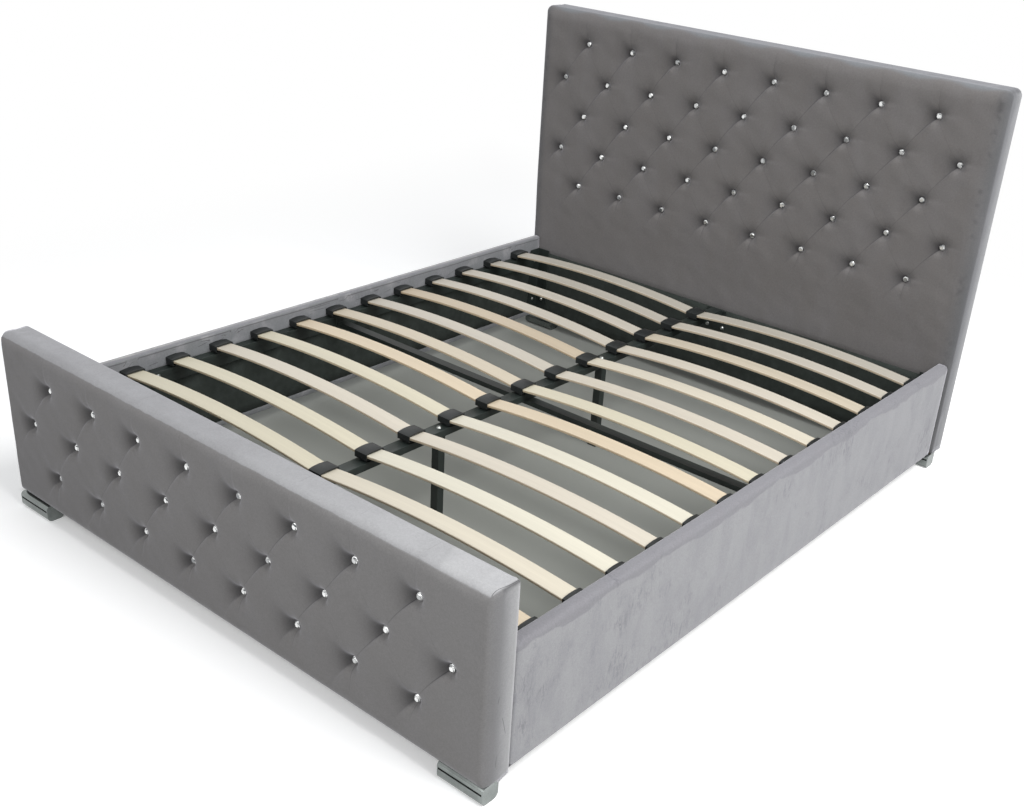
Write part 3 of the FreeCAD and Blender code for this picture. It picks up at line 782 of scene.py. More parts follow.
    def _paint_pile(self, piece: Object, p: np.ndarray, face: np.ndarray, marks: dict[str, np.ndarray]) -> None:
        """Say how the pile lies, paint light and shade on the cloth, and say where the tucks' painted shadow lines
        run.

        Args:
            piece: The cover.
            p: Places of its vertices.
            face: Which of them are on the front.
            marks: What the buttons did, by attribute name.
        """
        x, y, z = p.T
        side, under_top, deep = self._from_end(p), self.top - z, self._depth(p)
        on_top = ~face & (under_top < NEAR_EDGE) & (y < self.back - MM)
        behind = ~face & (y > self.back - MM)
        on_side = ~face & (side < NEAR_EDGE) & ~on_top
        past_seam = np.where(x > 0, side - self._seam(deep), 1.0)
        within = smooth(0.5 + past_seam / SEAM_BLUR)
        if self.hemmed:
            fade, reach, strip = 0.010, 0.018, 1.0
            by_side, top_nap = within, within
            glow = 0.74 * smooth(deep)
        else:
            fade, reach, strip = 0.022, 0.055, 0.85
            by_side, top_nap = smooth(side / 0.02), 0.35 * smooth(0.5 + (side - 0.006) / 0.010)
            glow = 0.90 * smooth(deep) ** 1.5
        low = self.border - self.scallop * np.cos(2 * math.pi * (x - self.table[0][0][0]) / TUFT_PITCH)
        nap_and_sheen = np.where(face, smooth(0.5 + (low - under_top) / fade) * by_side, 0.0)
        nap_and_sheen = np.where(on_top, top_nap, nap_and_sheen)
        # Painted light: the sides turn paler towards the back, and the thin strip at their back edge is palest
        edge = np.where(face & (z < FLOOR_GAP + 0.0015), 0.35, 0.0)
        edge = np.where(on_side, glow, edge)
        edge = np.where(on_side & (y > self.back - 0.0045), strip, edge)
        if self.hemmed:
            # Painted light and shade: the face is lighter to the right and up and darker to the left and down, and
            # the top is lighter to the right, most past its last fold
            tilt = 0.18 * x / HALF_BOARD + 0.14 * ((z - FLOOR_GAP) / (self.top - FLOOR_GAP) - 0.5)
            edge = edge + face * 0.55 * np.clip(tilt, 0, 1)
            hollow = face * 0.9 * np.clip(-tilt, 0, 1)
            turned = smooth(0.5 + (x - 0.700 + 0.03 * deep) / 0.006)
            over_top = (0.54 * smooth((x + 0.1) / 0.8) + 0.30 * turned) * (on_top | (face & (under_top < 0.02)))
            edge = np.maximum(edge, over_top * np.where(on_top, within, nap_and_sheen))
            # The mitred seam gets a painted shadow line
            seam = (on_top | (face & (under_top < 0.012))) & (side < 0.040) & (x > 0)
            marks["pleat"] = np.where(seam, past_seam / MM, marks["pleat"])
            marks["pleat_ink"] = np.where(seam, 0.9, marks["pleat_ink"])
        else:
            # The pile is rubbed in patches beside the edges, most by the top right corner
            corner = (x > 0) * bell((under_top - 0.045) / 0.03)
            patches = 0.5 * wander(p, 0.09, self.seed + 12) + 0.7 * wander(p, 0.025, self.seed + 13) + corner
            rubbed = np.clip(patches, 0, 1) * bell((side - 0.022) / 0.010)
            hollow = 0.42 * rubbed * smooth((under_top - 0.010) / 0.015)
        marks["hollow"] = np.maximum(marks["hollow"], hollow)
        self._crease_side(p, on_side, marks)
        paint(piece, "nap_and_sheen", np.where(behind, 0.0, nap_and_sheen))
        # Painted shade: the face darkens towards the ends, and off the face the cloth takes the darker flank tone
        paint(piece, "flank", np.where(face, smooth((reach - side) / (reach + 0.008)), 1.0))
        paint(piece, "edge", edge)
        for name, values in marks.items():
            shown = face if name == "hollow" else face | on_top | on_side
            paint(piece, name, np.where(shown, values, 0.0))

    def _crease_side(self, p: np.ndarray, on_side: np.ndarray, marks: dict[str, np.ndarray]) -> None:
        """Paint the shadow lines of a few short creases on the lower sides, where the cloth is drawn tight.

        Args:
            p: Places of the vertices.
            on_side: Which of them are on the two sides.
            marks: Attributes so far, changed in place.
        """
        rng = np.random.default_rng(self.seed + 9)
        y, z = p[:, 1], p[:, 2]
        for low, high, at, lean in self.CREASES:
            line = self.front + (self.back - self.front) * (at + rng.uniform(-0.08, 0.08))
            line = line + (z - (low + high) / 2) * lean
            there = on_side & (z > low) & (z < high) & (np.abs(y - line) < 0.02)
            taper = np.clip(np.minimum(z - low, high - z) / 0.012, 0, 1)
            marks["pleat"][there] = ((y - line) / MM)[there]
            marks["pleat_ink"][there] = (0.8 * taper)[there]

    def _pull_buttons(self, p: np.ndarray, marks: dict[str, np.ndarray]) -> np.ndarray:
        """Work out how far each place is pulled in by the buttons and the tucks between them, and paint the shade
        round each button.

        Args:
            p: Places of the vertices.
            marks: Attributes so far, changed in place.

        Returns:
            Depths in metres.
        """
        rng = np.random.default_rng(self.seed)
        depth = self.crown + SEAT_DEPTH
        pull = np.zeros(len(p))
        spots = {(round(x / TUFT_PITCH * 2), row): (x, z) for row, line in enumerate(self.table) for x, z in line}
        for (column, row), (x, z) in spots.items():
            dx, dz = p[:, 0] - x, p[:, 2] - z
            near = np.flatnonzero(np.hypot(dx, dz) < self.BUTTON_REACH)
            dx, dz = dx[near], dz[near]
            far = np.hypot(dx, dz)
            past = np.clip(far - self.SEAT_RADIUS, 0, None)
            lower = spots.get((column - 1, row + 1), (x - 0.06, z - 0.085))
            upper = spots.get((column - 1, row - 1), (x - 0.05, z + 0.10))
            bulge = 0.0045 * rng.uniform(0.4, 1.2)
            down = self._beside(dx, dz, (lower[0] - x, lower[1] - z), bulge)
            up = self._beside(dx, dz, (upper[0] - x, upper[1] - z), 0.004 * rng.uniform(0.2, 1.0))
            # The cloth lies deep between the two tucks that leave the button on its left
            blunt = 0.013 + 0.5 * np.clip(far - 0.012, 0, None)
            wedge = smooth((down + 0.0015) / 0.0035) * smooth((up + 0.005) / blunt) * smooth((0.003 - dx) / 0.009)
            reach = 0.020 * rng.uniform(0.85, 1.2)
            above = smooth(dz / 0.012)
            seat = np.exp(-past / (0.0085 + self.seat_above * above))
            cup = wedge * np.exp(-past / reach) + (1 - wedge) * seat
            pull[near] = np.maximum(pull[near], depth * cup)
            # The painted shadow reaches a little beyond the deep part, and further above the button than below it
            shade = smooth((down + 0.0030) / 0.0035) * smooth((up + 0.010) / (blunt + 0.006))
            shade = shade * smooth((0.006 - dx) / 0.010)
            shadow_reach = 0.006 + 0.007 * above + (0.025 - 0.007 * above) * shade
            dark = (0.3 + 0.15 * above + (0.7 - 0.15 * above) * shade) * np.exp(-(past / shadow_reach) ** 1.25)
            marks["hollow"][near] = np.maximum(marks["hollow"][near], 0.85 * dark)
            start, strong = (x, z), rng.uniform(0.7, 1.2)
            ink, full, slight = 0.42 * strong, self.fold_depth * strong, self.fold_depth * 0.10 * strong
            if (column - 1, row + 1) in spots:
                self._tuck(p, start, lower, bulge, full, 0.8 * strong, "fold", pull, marks)
            if (column - 1, row - 1) in spots:
                self._tuck(p, start, upper, 0.002, slight, ink, "pleat", pull, marks)
            if row == 0:
                end = (x + rng.uniform(-0.006, 0.006), self.top + 0.002)
                self._tuck(p, start, end, 0.002, 0.0012, ink, "pleat", pull, marks)
                self._cross_top(p, end[0], rng.uniform(-0.012, 0.012), 0.3 * strong, marks)
            if row == self.rows - 1:
                end = (x - rng.uniform(0.004, 0.012), z - rng.uniform(0.05, 0.075))
                self._tuck(p, start, end, -0.004, 0.0022, 0.6 * strong, "pleat", pull, marks)
        return pull

    @staticmethod
    def _beside(dx: np.ndarray, dz: np.ndarray, end: tuple[float, float], bulge: float) -> np.ndarray:
        """Give the distance from a bowed tuck that leaves a button, positive towards its left.

        Args:
            dx: X from the button.
            dz: Z from the button.
            end: Where the tuck ends, seen from the button.
            bulge: How far its middle bows to the left.

        Returns:
            Signed distances.
        """
        length = math.hypot(*end)
        ax, az = end[0] / length, end[1] / length
        nx, nz = (-az, ax) if -az < 0 else (az, -ax)
        t = np.clip((dx * ax + dz * az) / length, 0, 1)
        return dx * nx + dz * nz - bulge * np.sin(t * math.pi)

    def _tuck(self, p: np.ndarray, start: tuple[float, float], end: tuple[float, float], bulge: float, depth: float,
              ink: float, name: str, pull: np.ndarray, marks: dict[str, np.ndarray]) -> None:
        """Lay one tuck from a button: a step that is sharp on its right and eases out on its left, with a painted
        shadow line.

        Args:
            p: Places of the vertices.
            start: X and Z of the button that it leaves.
            end: X and Z of the place where it runs out.
            bulge: How far its middle bows to the left.
            depth: Its depth by the button.
            ink: How dark the painted shadow along its line is.
            name: Attribute that takes the line, "fold" or "pleat".
            pull: Depths so far, changed in place.
            marks: Attributes so far, changed in place.
        """
        dx, dz = p[:, 0] - start[0], p[:, 2] - start[1]
        run = (end[0] - start[0], end[1] - start[1])
        length = math.hypot(*run)
        t = (dx * run[0] + dz * run[1]) / length ** 2
        near = np.flatnonzero((t > 0) & (t < 1) & (np.abs(dx) < 0.15))
        t = t[near]
        s = self._beside(dx[near], dz[near], run, bulge)
        fade = (0.22 + 0.78 * (1 - t) ** 1.5) * smooth((1 - t) / 0.15)
        profile = np.where(s > 0, np.exp(-np.abs(s) / 0.012), bell(s / 0.0028))
        lip = -0.35 * bell((s + 0.008) / 0.005)
        pull[near] += depth * fade * (profile + lip) * smooth(t * length / 0.012)
        close = np.abs(s) < 0.020
        chosen = near[close]
        marks[name][chosen] = s[close] / MM
        marks[name + "_ink"][chosen] = ink * fade[close]

    def _cross_top(self, p: np.ndarray, x: float, slant: float, ink: float, marks: dict[str, np.ndarray]) -> None:
        """Paint the shadow line of a pleat over the top of the board.

        Args:
            p: Places of the vertices.
            x: X where the pleat comes over the front edge.
            slant: How far it moves sideways on its way back.
            ink: How dark the painted shadow line is.
            marks: Attributes so far, changed in place.
        """
        deep = self._depth(p)
        away = p[:, 0] - x - slant * deep
        there = (p[:, 2] > self.top - NEAR_EDGE) & (np.abs(away) < 0.02) & (p[:, 1] > self.front + self.lip - HAIR)
        marks["pleat"][there] = away[there] / MM
        marks["pleat_ink"][there] = (ink * (1 - 0.6 * deep))[there]

    def _wrinkle_edges(self, p: np.ndarray, band: np.ndarray) -> None:
        """Let the cloth on the top and sides ripple, and tuck it in at the mitred corner.

        Args:
            p: Places of the vertices, changed in place.
            band: Which of them lie behind the front.
        """
        y, z = p[:, 1], p[:, 2]
        rim = self.front + self.lip
        middle = smooth((y - rim) / 0.022) * smooth((self.back - y) / 0.022)
        ripple = 0.0009 * wander(p, 0.11, self.seed + 5) + 0.0004 * wander(p, 0.035, self.seed + 6)
        side = self._from_end(p)
        on_top = band & (z > self.top - 0.002)
        on_side = band & (np.abs(p[:, 0]) > HALF_BOARD - 0.002)
        lift = ripple * middle * (0.6 + 1.2 * smooth(1 - side / 0.2))
        if self.hemmed:
            past = side - self._seam(self._depth(p))
            hem = (0.0020 * bell(past / 0.003) - 0.0016 * bell((past - 0.009) / 0.006)) * (p[:, 0] > 0)
            lift = lift - hem * smooth((y - rim) / 0.02)
        p[on_top, 2] += np.clip(lift, -0.0021, 0.0025)[on_top]
        low = smooth(1 - (z - FLOOR_GAP) / 0.2) + smooth(1 - (self.top - z) / 0.1)
        shift = ripple * middle * (0.6 + 1.4 * low)
        p[on_side, 0] += (np.sign(p[:, 0]) * np.clip(shift, -0.0021, 0.003))[on_side]

    def crystals(self) -> Object:
        """Make the cut crystals, one in the seat of each button."""
        bm = bmesh.new()
        for line in self.table:
            for x, z in line:
                place = Matrix.Translation((x, self.front + SEAT_DEPTH, z)) @ Matrix.Rotation(math.pi / 2, 4, "X")
                turn = Matrix.Rotation((x * 37 + z * 91) % 0.7, 4, "Z")
                self._crystal(bm, place @ turn)
        bmesh.ops.recalc_face_normals(bm, faces=bm.faces)
        piece = settle(bm, self.name + "_cut_crystals")
        piece.data.shade_flat()
        # The faces' order changes from run to run and that of their corners doesn't, so the corners count
        facets = piece.data.polygons
        order = sorted(range(len(facets)), key=lambda i: sorted(facets[i].vertices))
        # Each facet gets a random level of painted reflection
        values = np.zeros(len(facets), np.float32)
        values[order] = np.random.default_rng(self.seed).uniform(size=len(facets))
        piece.data.attributes.new("facet", "FLOAT", "FACE").data.foreach_set("value", values)
        return piece

    def _crystal(self, bm: BMesh, place: Matrix) -> None:
        """Cut one crystal: a foiled girdle, two rows of facets turned against each other, and a table.

        Args:
            bm: Mesh that takes the crystal.
            place: Where it sits, with its own Z pointing out of the cloth.
        """
        made = bmesh.ops.create_circle(bm, cap_ends=True, segments=8, radius=self.GEM_RADIUS, matrix=place)
        faces = list({f for v in made["verts"] for f in v.link_faces})
        for height, grow, turn in self.GEM_STEPS:
            up = bmesh.ops.extrude_face_region(bm, geom=faces)["geom"]
            bmesh.ops.delete(bm, geom=faces, context="FACES_ONLY")
            change = place @ Matrix.Translation((0, 0, height)) @ Matrix.Rotation(turn, 4, "Z")
            change = change @ Matrix.Diagonal((grow, grow, 1, 1)) @ place.inverted()
            bmesh.ops.transform(bm, matrix=change, verts=only(BMVert, up))
            faces = only(BMFace, up)

    def build(self, crystal: Material) -> None:
        """Make and dress the board.

        Args:
            crystal: Material of the cut crystals.
        """
        cover = self.cover()
        dress(cover, self.velvet.material())
        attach(cover, BODY)
        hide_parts(self.name + "_tufted_pad", self.name + "_edge_wrap")
        log.info("%s: velvet cover, %d faces", self.name, len(cover.data.polygons))
        gems = self.crystals()
        dress(gems, crystal)
        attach(gems, BODY)
        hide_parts(self.name + "_crystals")
        log.info("%s: %d crystals", self.name, sum(len(line) for line in self.table))


# Side rails


@dataclass
class SideRail:
    """A padded side rail: velvet over its outer face and top, turned in over the inner one."""

    side: int
    front: float = RAIL_FRONT
    back: float = RAIL_BACK
    step: float = 0.012
    foot_round: float = 0.006
    top_round: float = 0.014
    pulls: int = 26

    @property
    def name(self) -> str:
        """Name the side of the bed that the rail is on."""
        return "right" if self.side > 0 else "left"

    def _section(self) -> list[tuple[float, float]]:
        """List the X and Z of the cover's outline on the right-hand rail, from the inner foot round."""
        small, large = self.foot_round, self.top_round
        low, high = FLOOR_GAP + small, RAIL_TOP - large
        return [
            (HALF_WELL, FLOOR_GAP + 0.002), (HALF_WELL + 0.002, FLOOR_GAP), (0.812, FLOOR_GAP), (0.822, FLOOR_GAP),
            *arc(RAIL_OUTER - small, low, small, range(-90, 1, 30)),
            *((RAIL_OUTER, low + (high - low) * (i + 1) / 28) for i in range(28)),
            *arc(RAIL_OUTER - large, high, large, range(15, 91, 15)),
            *((x, RAIL_TOP) for x in (0.8175, 0.814, 0.811)),
            *arc(HALF_WELL + small, RAIL_TOP - small, small, range(90, 181, 30)),
            *((HALF_WELL, z) for z in (0.338, 0.330, 0.322, 0.314, 0.307, 0.301)),
            (HALF_WELL + 0.0006, LINING_HIGH), (HALF_WELL + 0.0035, LINING_HIGH - 0.002),
            *((HALF_WELL + 0.0035, z) for z in (0.23, 0.14, 0.066)), (HALF_WELL + 0.0006, LINING_LOW)]

    def cover(self) -> Object:
        """Make the cover by drawing its section from the foot to the head."""
        bm = bmesh.new()
        end = bm.faces.new([bm.verts.new((self.side * x, self.front, z)) for x, z in self._section()])
        bm.normal_update()
        edges = list(end.edges)
        count = round((self.back - self.front) / self.step)
        for _ in range(count):
            made = bmesh.ops.extrude_edge_only(bm, edges=edges)["geom"]
            fresh = only(BMVert, made)
            bmesh.ops.translate(bm, vec=(0, (self.back - self.front) / count, 0), verts=fresh)
            chosen = set(fresh)
            edges = [e for e in only(BMEdge, made) if all(v in chosen for v in e.verts)]
        bmesh.ops.contextual_create(bm, geom=edges)
        bmesh.ops.recalc_face_normals(bm, faces=bm.faces)
        piece = settle(bm, "rail_%s_velvet" % self.name)
        self._sculpt(piece)
        return piece

    def _sculpt(self, piece: Object) -> None:
        """Plump the padding, pull wrinkles into the turned-in band and paint the lay of the pile, partly as painted
        sheen, with a painted highlight on the left rail's top.

        Args:
            piece: The cover, still with one section all along.
        """
        p = places_of(piece)
        x = p[:, 0] * self.side
        z = p[:, 2]
        seed = 40 + self.side
        along, flat = [0, 1, 0], [0, 1, 1]
        ends = smooth(np.minimum(p[:, 1] - self.front, self.back - p[:, 1]) / 0.03)
        outer = smooth((x - 0.826) / 0.006) * smooth((z - FLOOR_GAP) / 0.03) * smooth((RAIL_TOP - z) / 0.02)
        plump = 0.0012 + 0.0011 * wander(p, 0.33, seed) + 0.0005 * wander(p, 0.09, seed + 1)
        x = x + outer * plump * ends
        band = smooth((0.8035 - x) / 0.0005) * (z > LINING_HIGH + 0.002) * smooth((RAIL_TOP - z) / 0.01)
        slant = np.stack([p[:, 1] + 0.6 * z, 0 * z, 0.5 * z], axis=1)
        pulls = 0.0011 * wander(slant, 0.05, seed + 2) * smooth(0.4 + wander(p * along, 0.5, seed + 3))
        x = x - band * pulls * ends
        top = smooth((z - RAIL_TOP + 0.002) / 0.002) * ends
        z += top * (0.0008 * wander(p, 0.16, seed + 4) - 0.0006)
        hem = smooth(1 - (z - FLOOR_GAP) / 0.004) * ends
        z += hem * 0.0006 * (1 + wander(p * along, 0.12, seed + 5))
        p[:, 0] = x * self.side
        put_places(piece, p)
        # The outer face takes the pale tone, which is partly painted sheen
        ragged = 0.007 * wander(p * flat, 0.14, seed + 6) + 0.004 * wander(p * flat, 0.045, seed + 7)
        face = smooth(0.5 + (RAIL_TOP - 0.022 + ragged - z) / 0.014)
        inner = smooth((0.806 - x) / 0.003)
        mottled = 0.10 if self.side > 0 else 0.32 + 0.25 * wander(p * flat, 0.05, seed + 8)
        paint(piece, "nap_and_sheen", face * (1 - inner) + mottled * inner)
        paint(piece, "flank", inner)
        self._crease(piece, p, x, inner)
        # The top of the left rail gets a painted highlight and looks pale
        lit = smooth((z - RAIL_TOP + 0.004) / 0.002) * smooth((x - 0.812) / 0.004) * (self.side < 0)
        paint(piece, "edge", 0.75 * lit)

    def _crease(self, piece: Object, p: np.ndarray, x: np.ndarray, inner: np.ndarray) -> None:
        """Paint the shadow lines of the fold under the top, of the pull wrinkles on the inner band, of the hem and of
        the gap at each end.

        Args:
            piece: The cover.
            p: Places of its vertices.
            x: Their distance from the bed's middle.
            inner: 1 on the inner band.
        """
        rng = np.random.default_rng(60 + self.side)
        y, z = p[:, 1], p[:, 2]
        line, ink = np.full(len(p), NO_LINE), np.zeros(len(p))
        band = inner > 0.5
        fold = z - (RAIL_TOP - 0.0085 + 0.0012 * wander(p * [0, 1, 0], 0.2, 47 + self.side))
        near = band & (np.abs(fold) < 0.008)
        line[near], ink[near] = (fold / MM / 2.4)[near], 0.5
        for _ in range(self.pulls):
            at, high = rng.uniform(self.front + 0.05, self.back - 0.05), rng.uniform(0.312, 0.334)
            long, lean = rng.uniform(0.015, 0.045), rng.uniform(-0.35, 0.35)
            off = z - high - lean * (y - at)
            near = band & (np.abs(y - at) < long) & (np.abs(off) < 0.006) & (z < RAIL_TOP - 0.011)
            line[near] = (off / MM)[near]
            ink[near] = (0.8 * (1 - (np.abs(y - at) / long) ** 2))[near]
        hem = (x > RAIL_OUTER - 0.002) & (z < FLOOR_GAP + 0.014)
        line[hem], ink[hem] = ((z - FLOOR_GAP - 0.0055) / MM)[hem], 0.45
        ends = np.minimum(y - self.front, self.back - y) / MM - 0.8
        gap = (ends < 2.5) & (z < RAIL_TOP - 0.004)
        line[gap], ink[gap] = ends[gap], 0.9
        paint(piece, "pleat", line)
        paint(piece, "pleat_ink", ink)

    def build(self, velvet: Material) -> None:
        """Make and dress the rail's cover.

        Args:
            velvet: Material of the cloth.
        """
        cover = self.cover()
        dress(cover, velvet)
        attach(cover, BODY)
        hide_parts("rail_cover_" + self.name)
        log.info("rail %s: cover, %d faces", self.name, len(cover.data.polygons))


# Black lining cloth


@dataclass
class StapledCloth:
    """A flat piece of black lining, stapled along its edges and a little slack between them."""

    name: str
    node: str
    corner: tuple[float, float, float]
    across: tuple[float, float, float]
    up: tuple[float, float, float]
    outward: tuple[float, float, float]
    rests_on: str
    slack: float = 0.0008
    round_top: float = 0.0
    cell: float = 0.03
    thickness: float = 0.0005

    def build(self, cloth: Material) -> None:
        """Make and dress the cloth.

        Args:
            cloth: Material of the lining.
        """
        a, b, n = Vector(self.across), Vector(self.up), Vector(self.outward)
        count = [max(4, round(v.length / self.cell)) for v in (a, b)]
        bm = bmesh.new()
        bmesh.ops.create_grid(bm, x_segments=count[0], y_segments=count[1], size=0.5)
        place = Matrix.Translation(Vector(self.corner) + (a + b) / 2) @ Matrix((a, b, n)).transposed().to_4x4()
        bmesh.ops.transform(bm, matrix=place, verts=bm.verts)
        piece = settle(bm, self.name)
        p = places_of(piece)
        rel = p - np.array(self.corner)
        u, v = rel @ np.array(a) / a.length_squared, rel @ np.array(b) / b.length_squared
        held = smooth(np.minimum(np.minimum(u, 1 - u) * a.length, np.minimum(v, 1 - v) * b.length) / 0.03)
        sag = self.slack * (wander(p, 0.16, 70) * 0.7 + 0.5 * wander(p, 0.05, 71)) * held
        sag = np.maximum(sag, -0.5 * self.slack)
        if self.round_top:
            out = np.abs(u - 0.5) * a.length - (a.length / 2 - self.round_top)
            up = v * b.length - (b.length - self.round_top)
            there = (out > 0) & (up > 0)
            cut = 1 - np.maximum(out, up)[there] / np.hypot(out, up)[there]
            p[there] -= (np.sign(u - 0.5) * out)[there, None] * cut[:, None] * np.array(a.normalized())
            p[there] -= up[there, None] * cut[:, None] * np.array(b.normalized())
        put_places(piece, p + sag[:, None] * np.array(n))
        thick = piece.modifiers.new("cloth_thickness", "SOLIDIFY")
        thick.thickness = self.thickness
        thick.offset = 0.0
        dress(piece, cloth)
        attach(piece, BODY)
        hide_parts(self.node)
        log.info("lining: %s", self.name)


def linings() -> list[StapledCloth]:
    """List the black cloths: on the boards, inside the rails and over the headboard's back."""
    wide, high = (2 * HALF_WELL, 0, 0), (0, 0, LINING_HIGH - FLOOR_GAP)
    long, low = (0, RAIL_BACK - RAIL_FRONT, 0), (0, 0, LINING_HIGH - LINING_LOW)
    return [
        StapledCloth("headboard_black_lining", "headboard_lining", (-HALF_WELL, HEAD_LINING_Y, FLOOR_GAP), wide, high,
                     (0, -1, 0), "headboard_panel"),
        StapledCloth("footboard_black_lining", "footboard_lining", (-HALF_WELL, FOOT_LINING_Y, FLOOR_GAP), wide, high,
                     (0, 1, 0), "footboard_frame"),
        StapledCloth("rail_right_black_lining", "rail_lining_right", (HALF_WELL + 0.0012, RAIL_FRONT, LINING_LOW),
                     long, low, (-1, 0, 0), "rail_board_right"),
        StapledCloth("rail_left_black_lining", "rail_lining_left", (-HALF_WELL - 0.0012, RAIL_FRONT, LINING_LOW),
                     long, low, (1, 0, 0), "rail_board_left"),
        StapledCloth("headboard_back_lining", "headboard_back_cloth", (-0.8355, BACK_CLOTH_Y, FLOOR_GAP + 0.0015),
                     (1.671, 0, 0), (0, 0, 1.1255), (0, 1, 0), "headboard_frame", slack=0.0, round_top=0.0175)]


# Slats, steel and small parts


def dress_all(nodes: dict[str, Object], names: tuple[str, ...], finish: PlainFinish, rounding: float = 0.0,
              segments: int = 2) -> None:
    """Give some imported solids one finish.

    Args:
        nodes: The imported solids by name.
        names: Those that are dressed.
        finish: Their finish.
        rounding: Width of their rounded edges in metres, or 0 for none.
        segments: Steps across the rounding.
    """
    material = finish.material()
    for name in names:
        dress(nodes[name], material, rounding, segments)


@dataclass
class SlatBase:
    """Bowed slats in moulded holders on a black steel under-frame."""

    # Tones from the foot end to the head end; the darker ones towards the head end are partly painted shade
    right: tuple[SlatTone, ...] = (
        SlatTone.PEACH, SlatTone.CREAM, SlatTone.WHITE, SlatTone.IVORY, SlatTone.WHITE, SlatTone.PEACH,
        SlatTone.STRAW, SlatTone.IVORY, SlatTone.CREAM, SlatTone.IVORY, SlatTone.BUFF, SlatTone.GREY, SlatTone.STONE)
    left: tuple[SlatTone, ...] = (
        SlatTone.STRAW, SlatTone.STRAW, SlatTone.STRAW, SlatTone.IVORY, SlatTone.STRAW, SlatTone.PEACH,
        SlatTone.BUFF, SlatTone.GREY, SlatTone.SAND, SlatTone.GREY, SlatTone.GREY, SlatTone.STONE, SlatTone.STONE)

    def build(self, nodes: dict[str, Object]) -> None:
        """Dress the slats, their holders and the steel.

        Args:
            nodes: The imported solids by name.
        """
        woods = {tone: BirchFinish(tone).material() for tone in SlatTone}
        for side, tones in (("right", self.right), ("left", self.left)):
            for number, tone in enumerate(tones, start=1):
                dress(nodes["slat_%s_%02d" % (side, number)], woods[tone])
        log.info("slats: %d pairs", len(self.right))
        plastic = PlainFinish("moulded_polypropylene", "#141717", "#1c2020", 0.5, grain_mm=0.8)
        dress_all(nodes, ("slat_outer_holders", "slat_centre_holders", "centre_leg_glides"), plastic, 0.0009)
        steel = PlainFinish("black_powder_coat", "#232927", "#2d3431", 0.42, grain_mm=1.4, grain_depth_mm=0.06,
                            mottle_mm=120.0)
        dress_all(nodes, ("slat_side_bar_right", "slat_side_bar_left", "centre_beam", "cross_beam", "centre_legs",
                          "beam_hangers", "corner_brackets"), steel, 0.0008)
        zinc = PlainFinish("bright_zinc_plate", "#a9aca9", "#8f928f", 0.4, metallic=1.0, grain_mm=0.7,
                           grain_depth_mm=0.02)
        dress_all(nodes, ("bracket_bolts", "side_bar_bolts", "beam_bolts", "foot_screws"), zinc)
        log.info("under-frame: steel, holders and bolts")


@dataclass
class HiddenTimber:
    """Frames, panels and rail boards inside the upholstery."""

    def build(self, nodes: dict[str, Object]) -> None:
        """Dress the hidden woodwork.

        Args:
            nodes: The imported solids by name.
        """
        pine = PlainFinish("sawn_pine", "#d8b987", "#c49f6b", 0.75, grain_mm=3.0, grain_depth_mm=0.2, mottle_mm=40.0,
                           stretch=(1.0, 1.0, 0.1))
        dress_all(nodes, ("headboard_frame", "footboard_frame"), pine)
        board = PlainFinish("raw_chipboard", "#b99a6e", "#a3855a", 0.85, grain_mm=4.0, grain_depth_mm=0.1,
                            mottle_mm=9.0)
        dress_all(nodes, ("headboard_panel", "footboard_panel", "rail_board_right", "rail_board_left"), board)
        log.info("timber: frames, panels and rail boards")


@dataclass
class ChromeFeet:
    """Cast feet in bright chrome plate."""

    rounding: float = 0.0012

    def build(self, nodes: dict[str, Object]) -> None:
        """Dress the feet.

        Args:
            nodes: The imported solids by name.
        """
        chrome = PlainFinish("bright_chrome_plate", "#868b89", "#757a78", 0.24, metallic=0.9, grain_mm=8.0,
                             grain_depth_mm=0.03, grain_strength=0.15, mottle_mm=50.0)
        dress_all(nodes, ("chrome_feet",), chrome, self.rounding, 3)
        log.info("feet: chrome")


# Studio


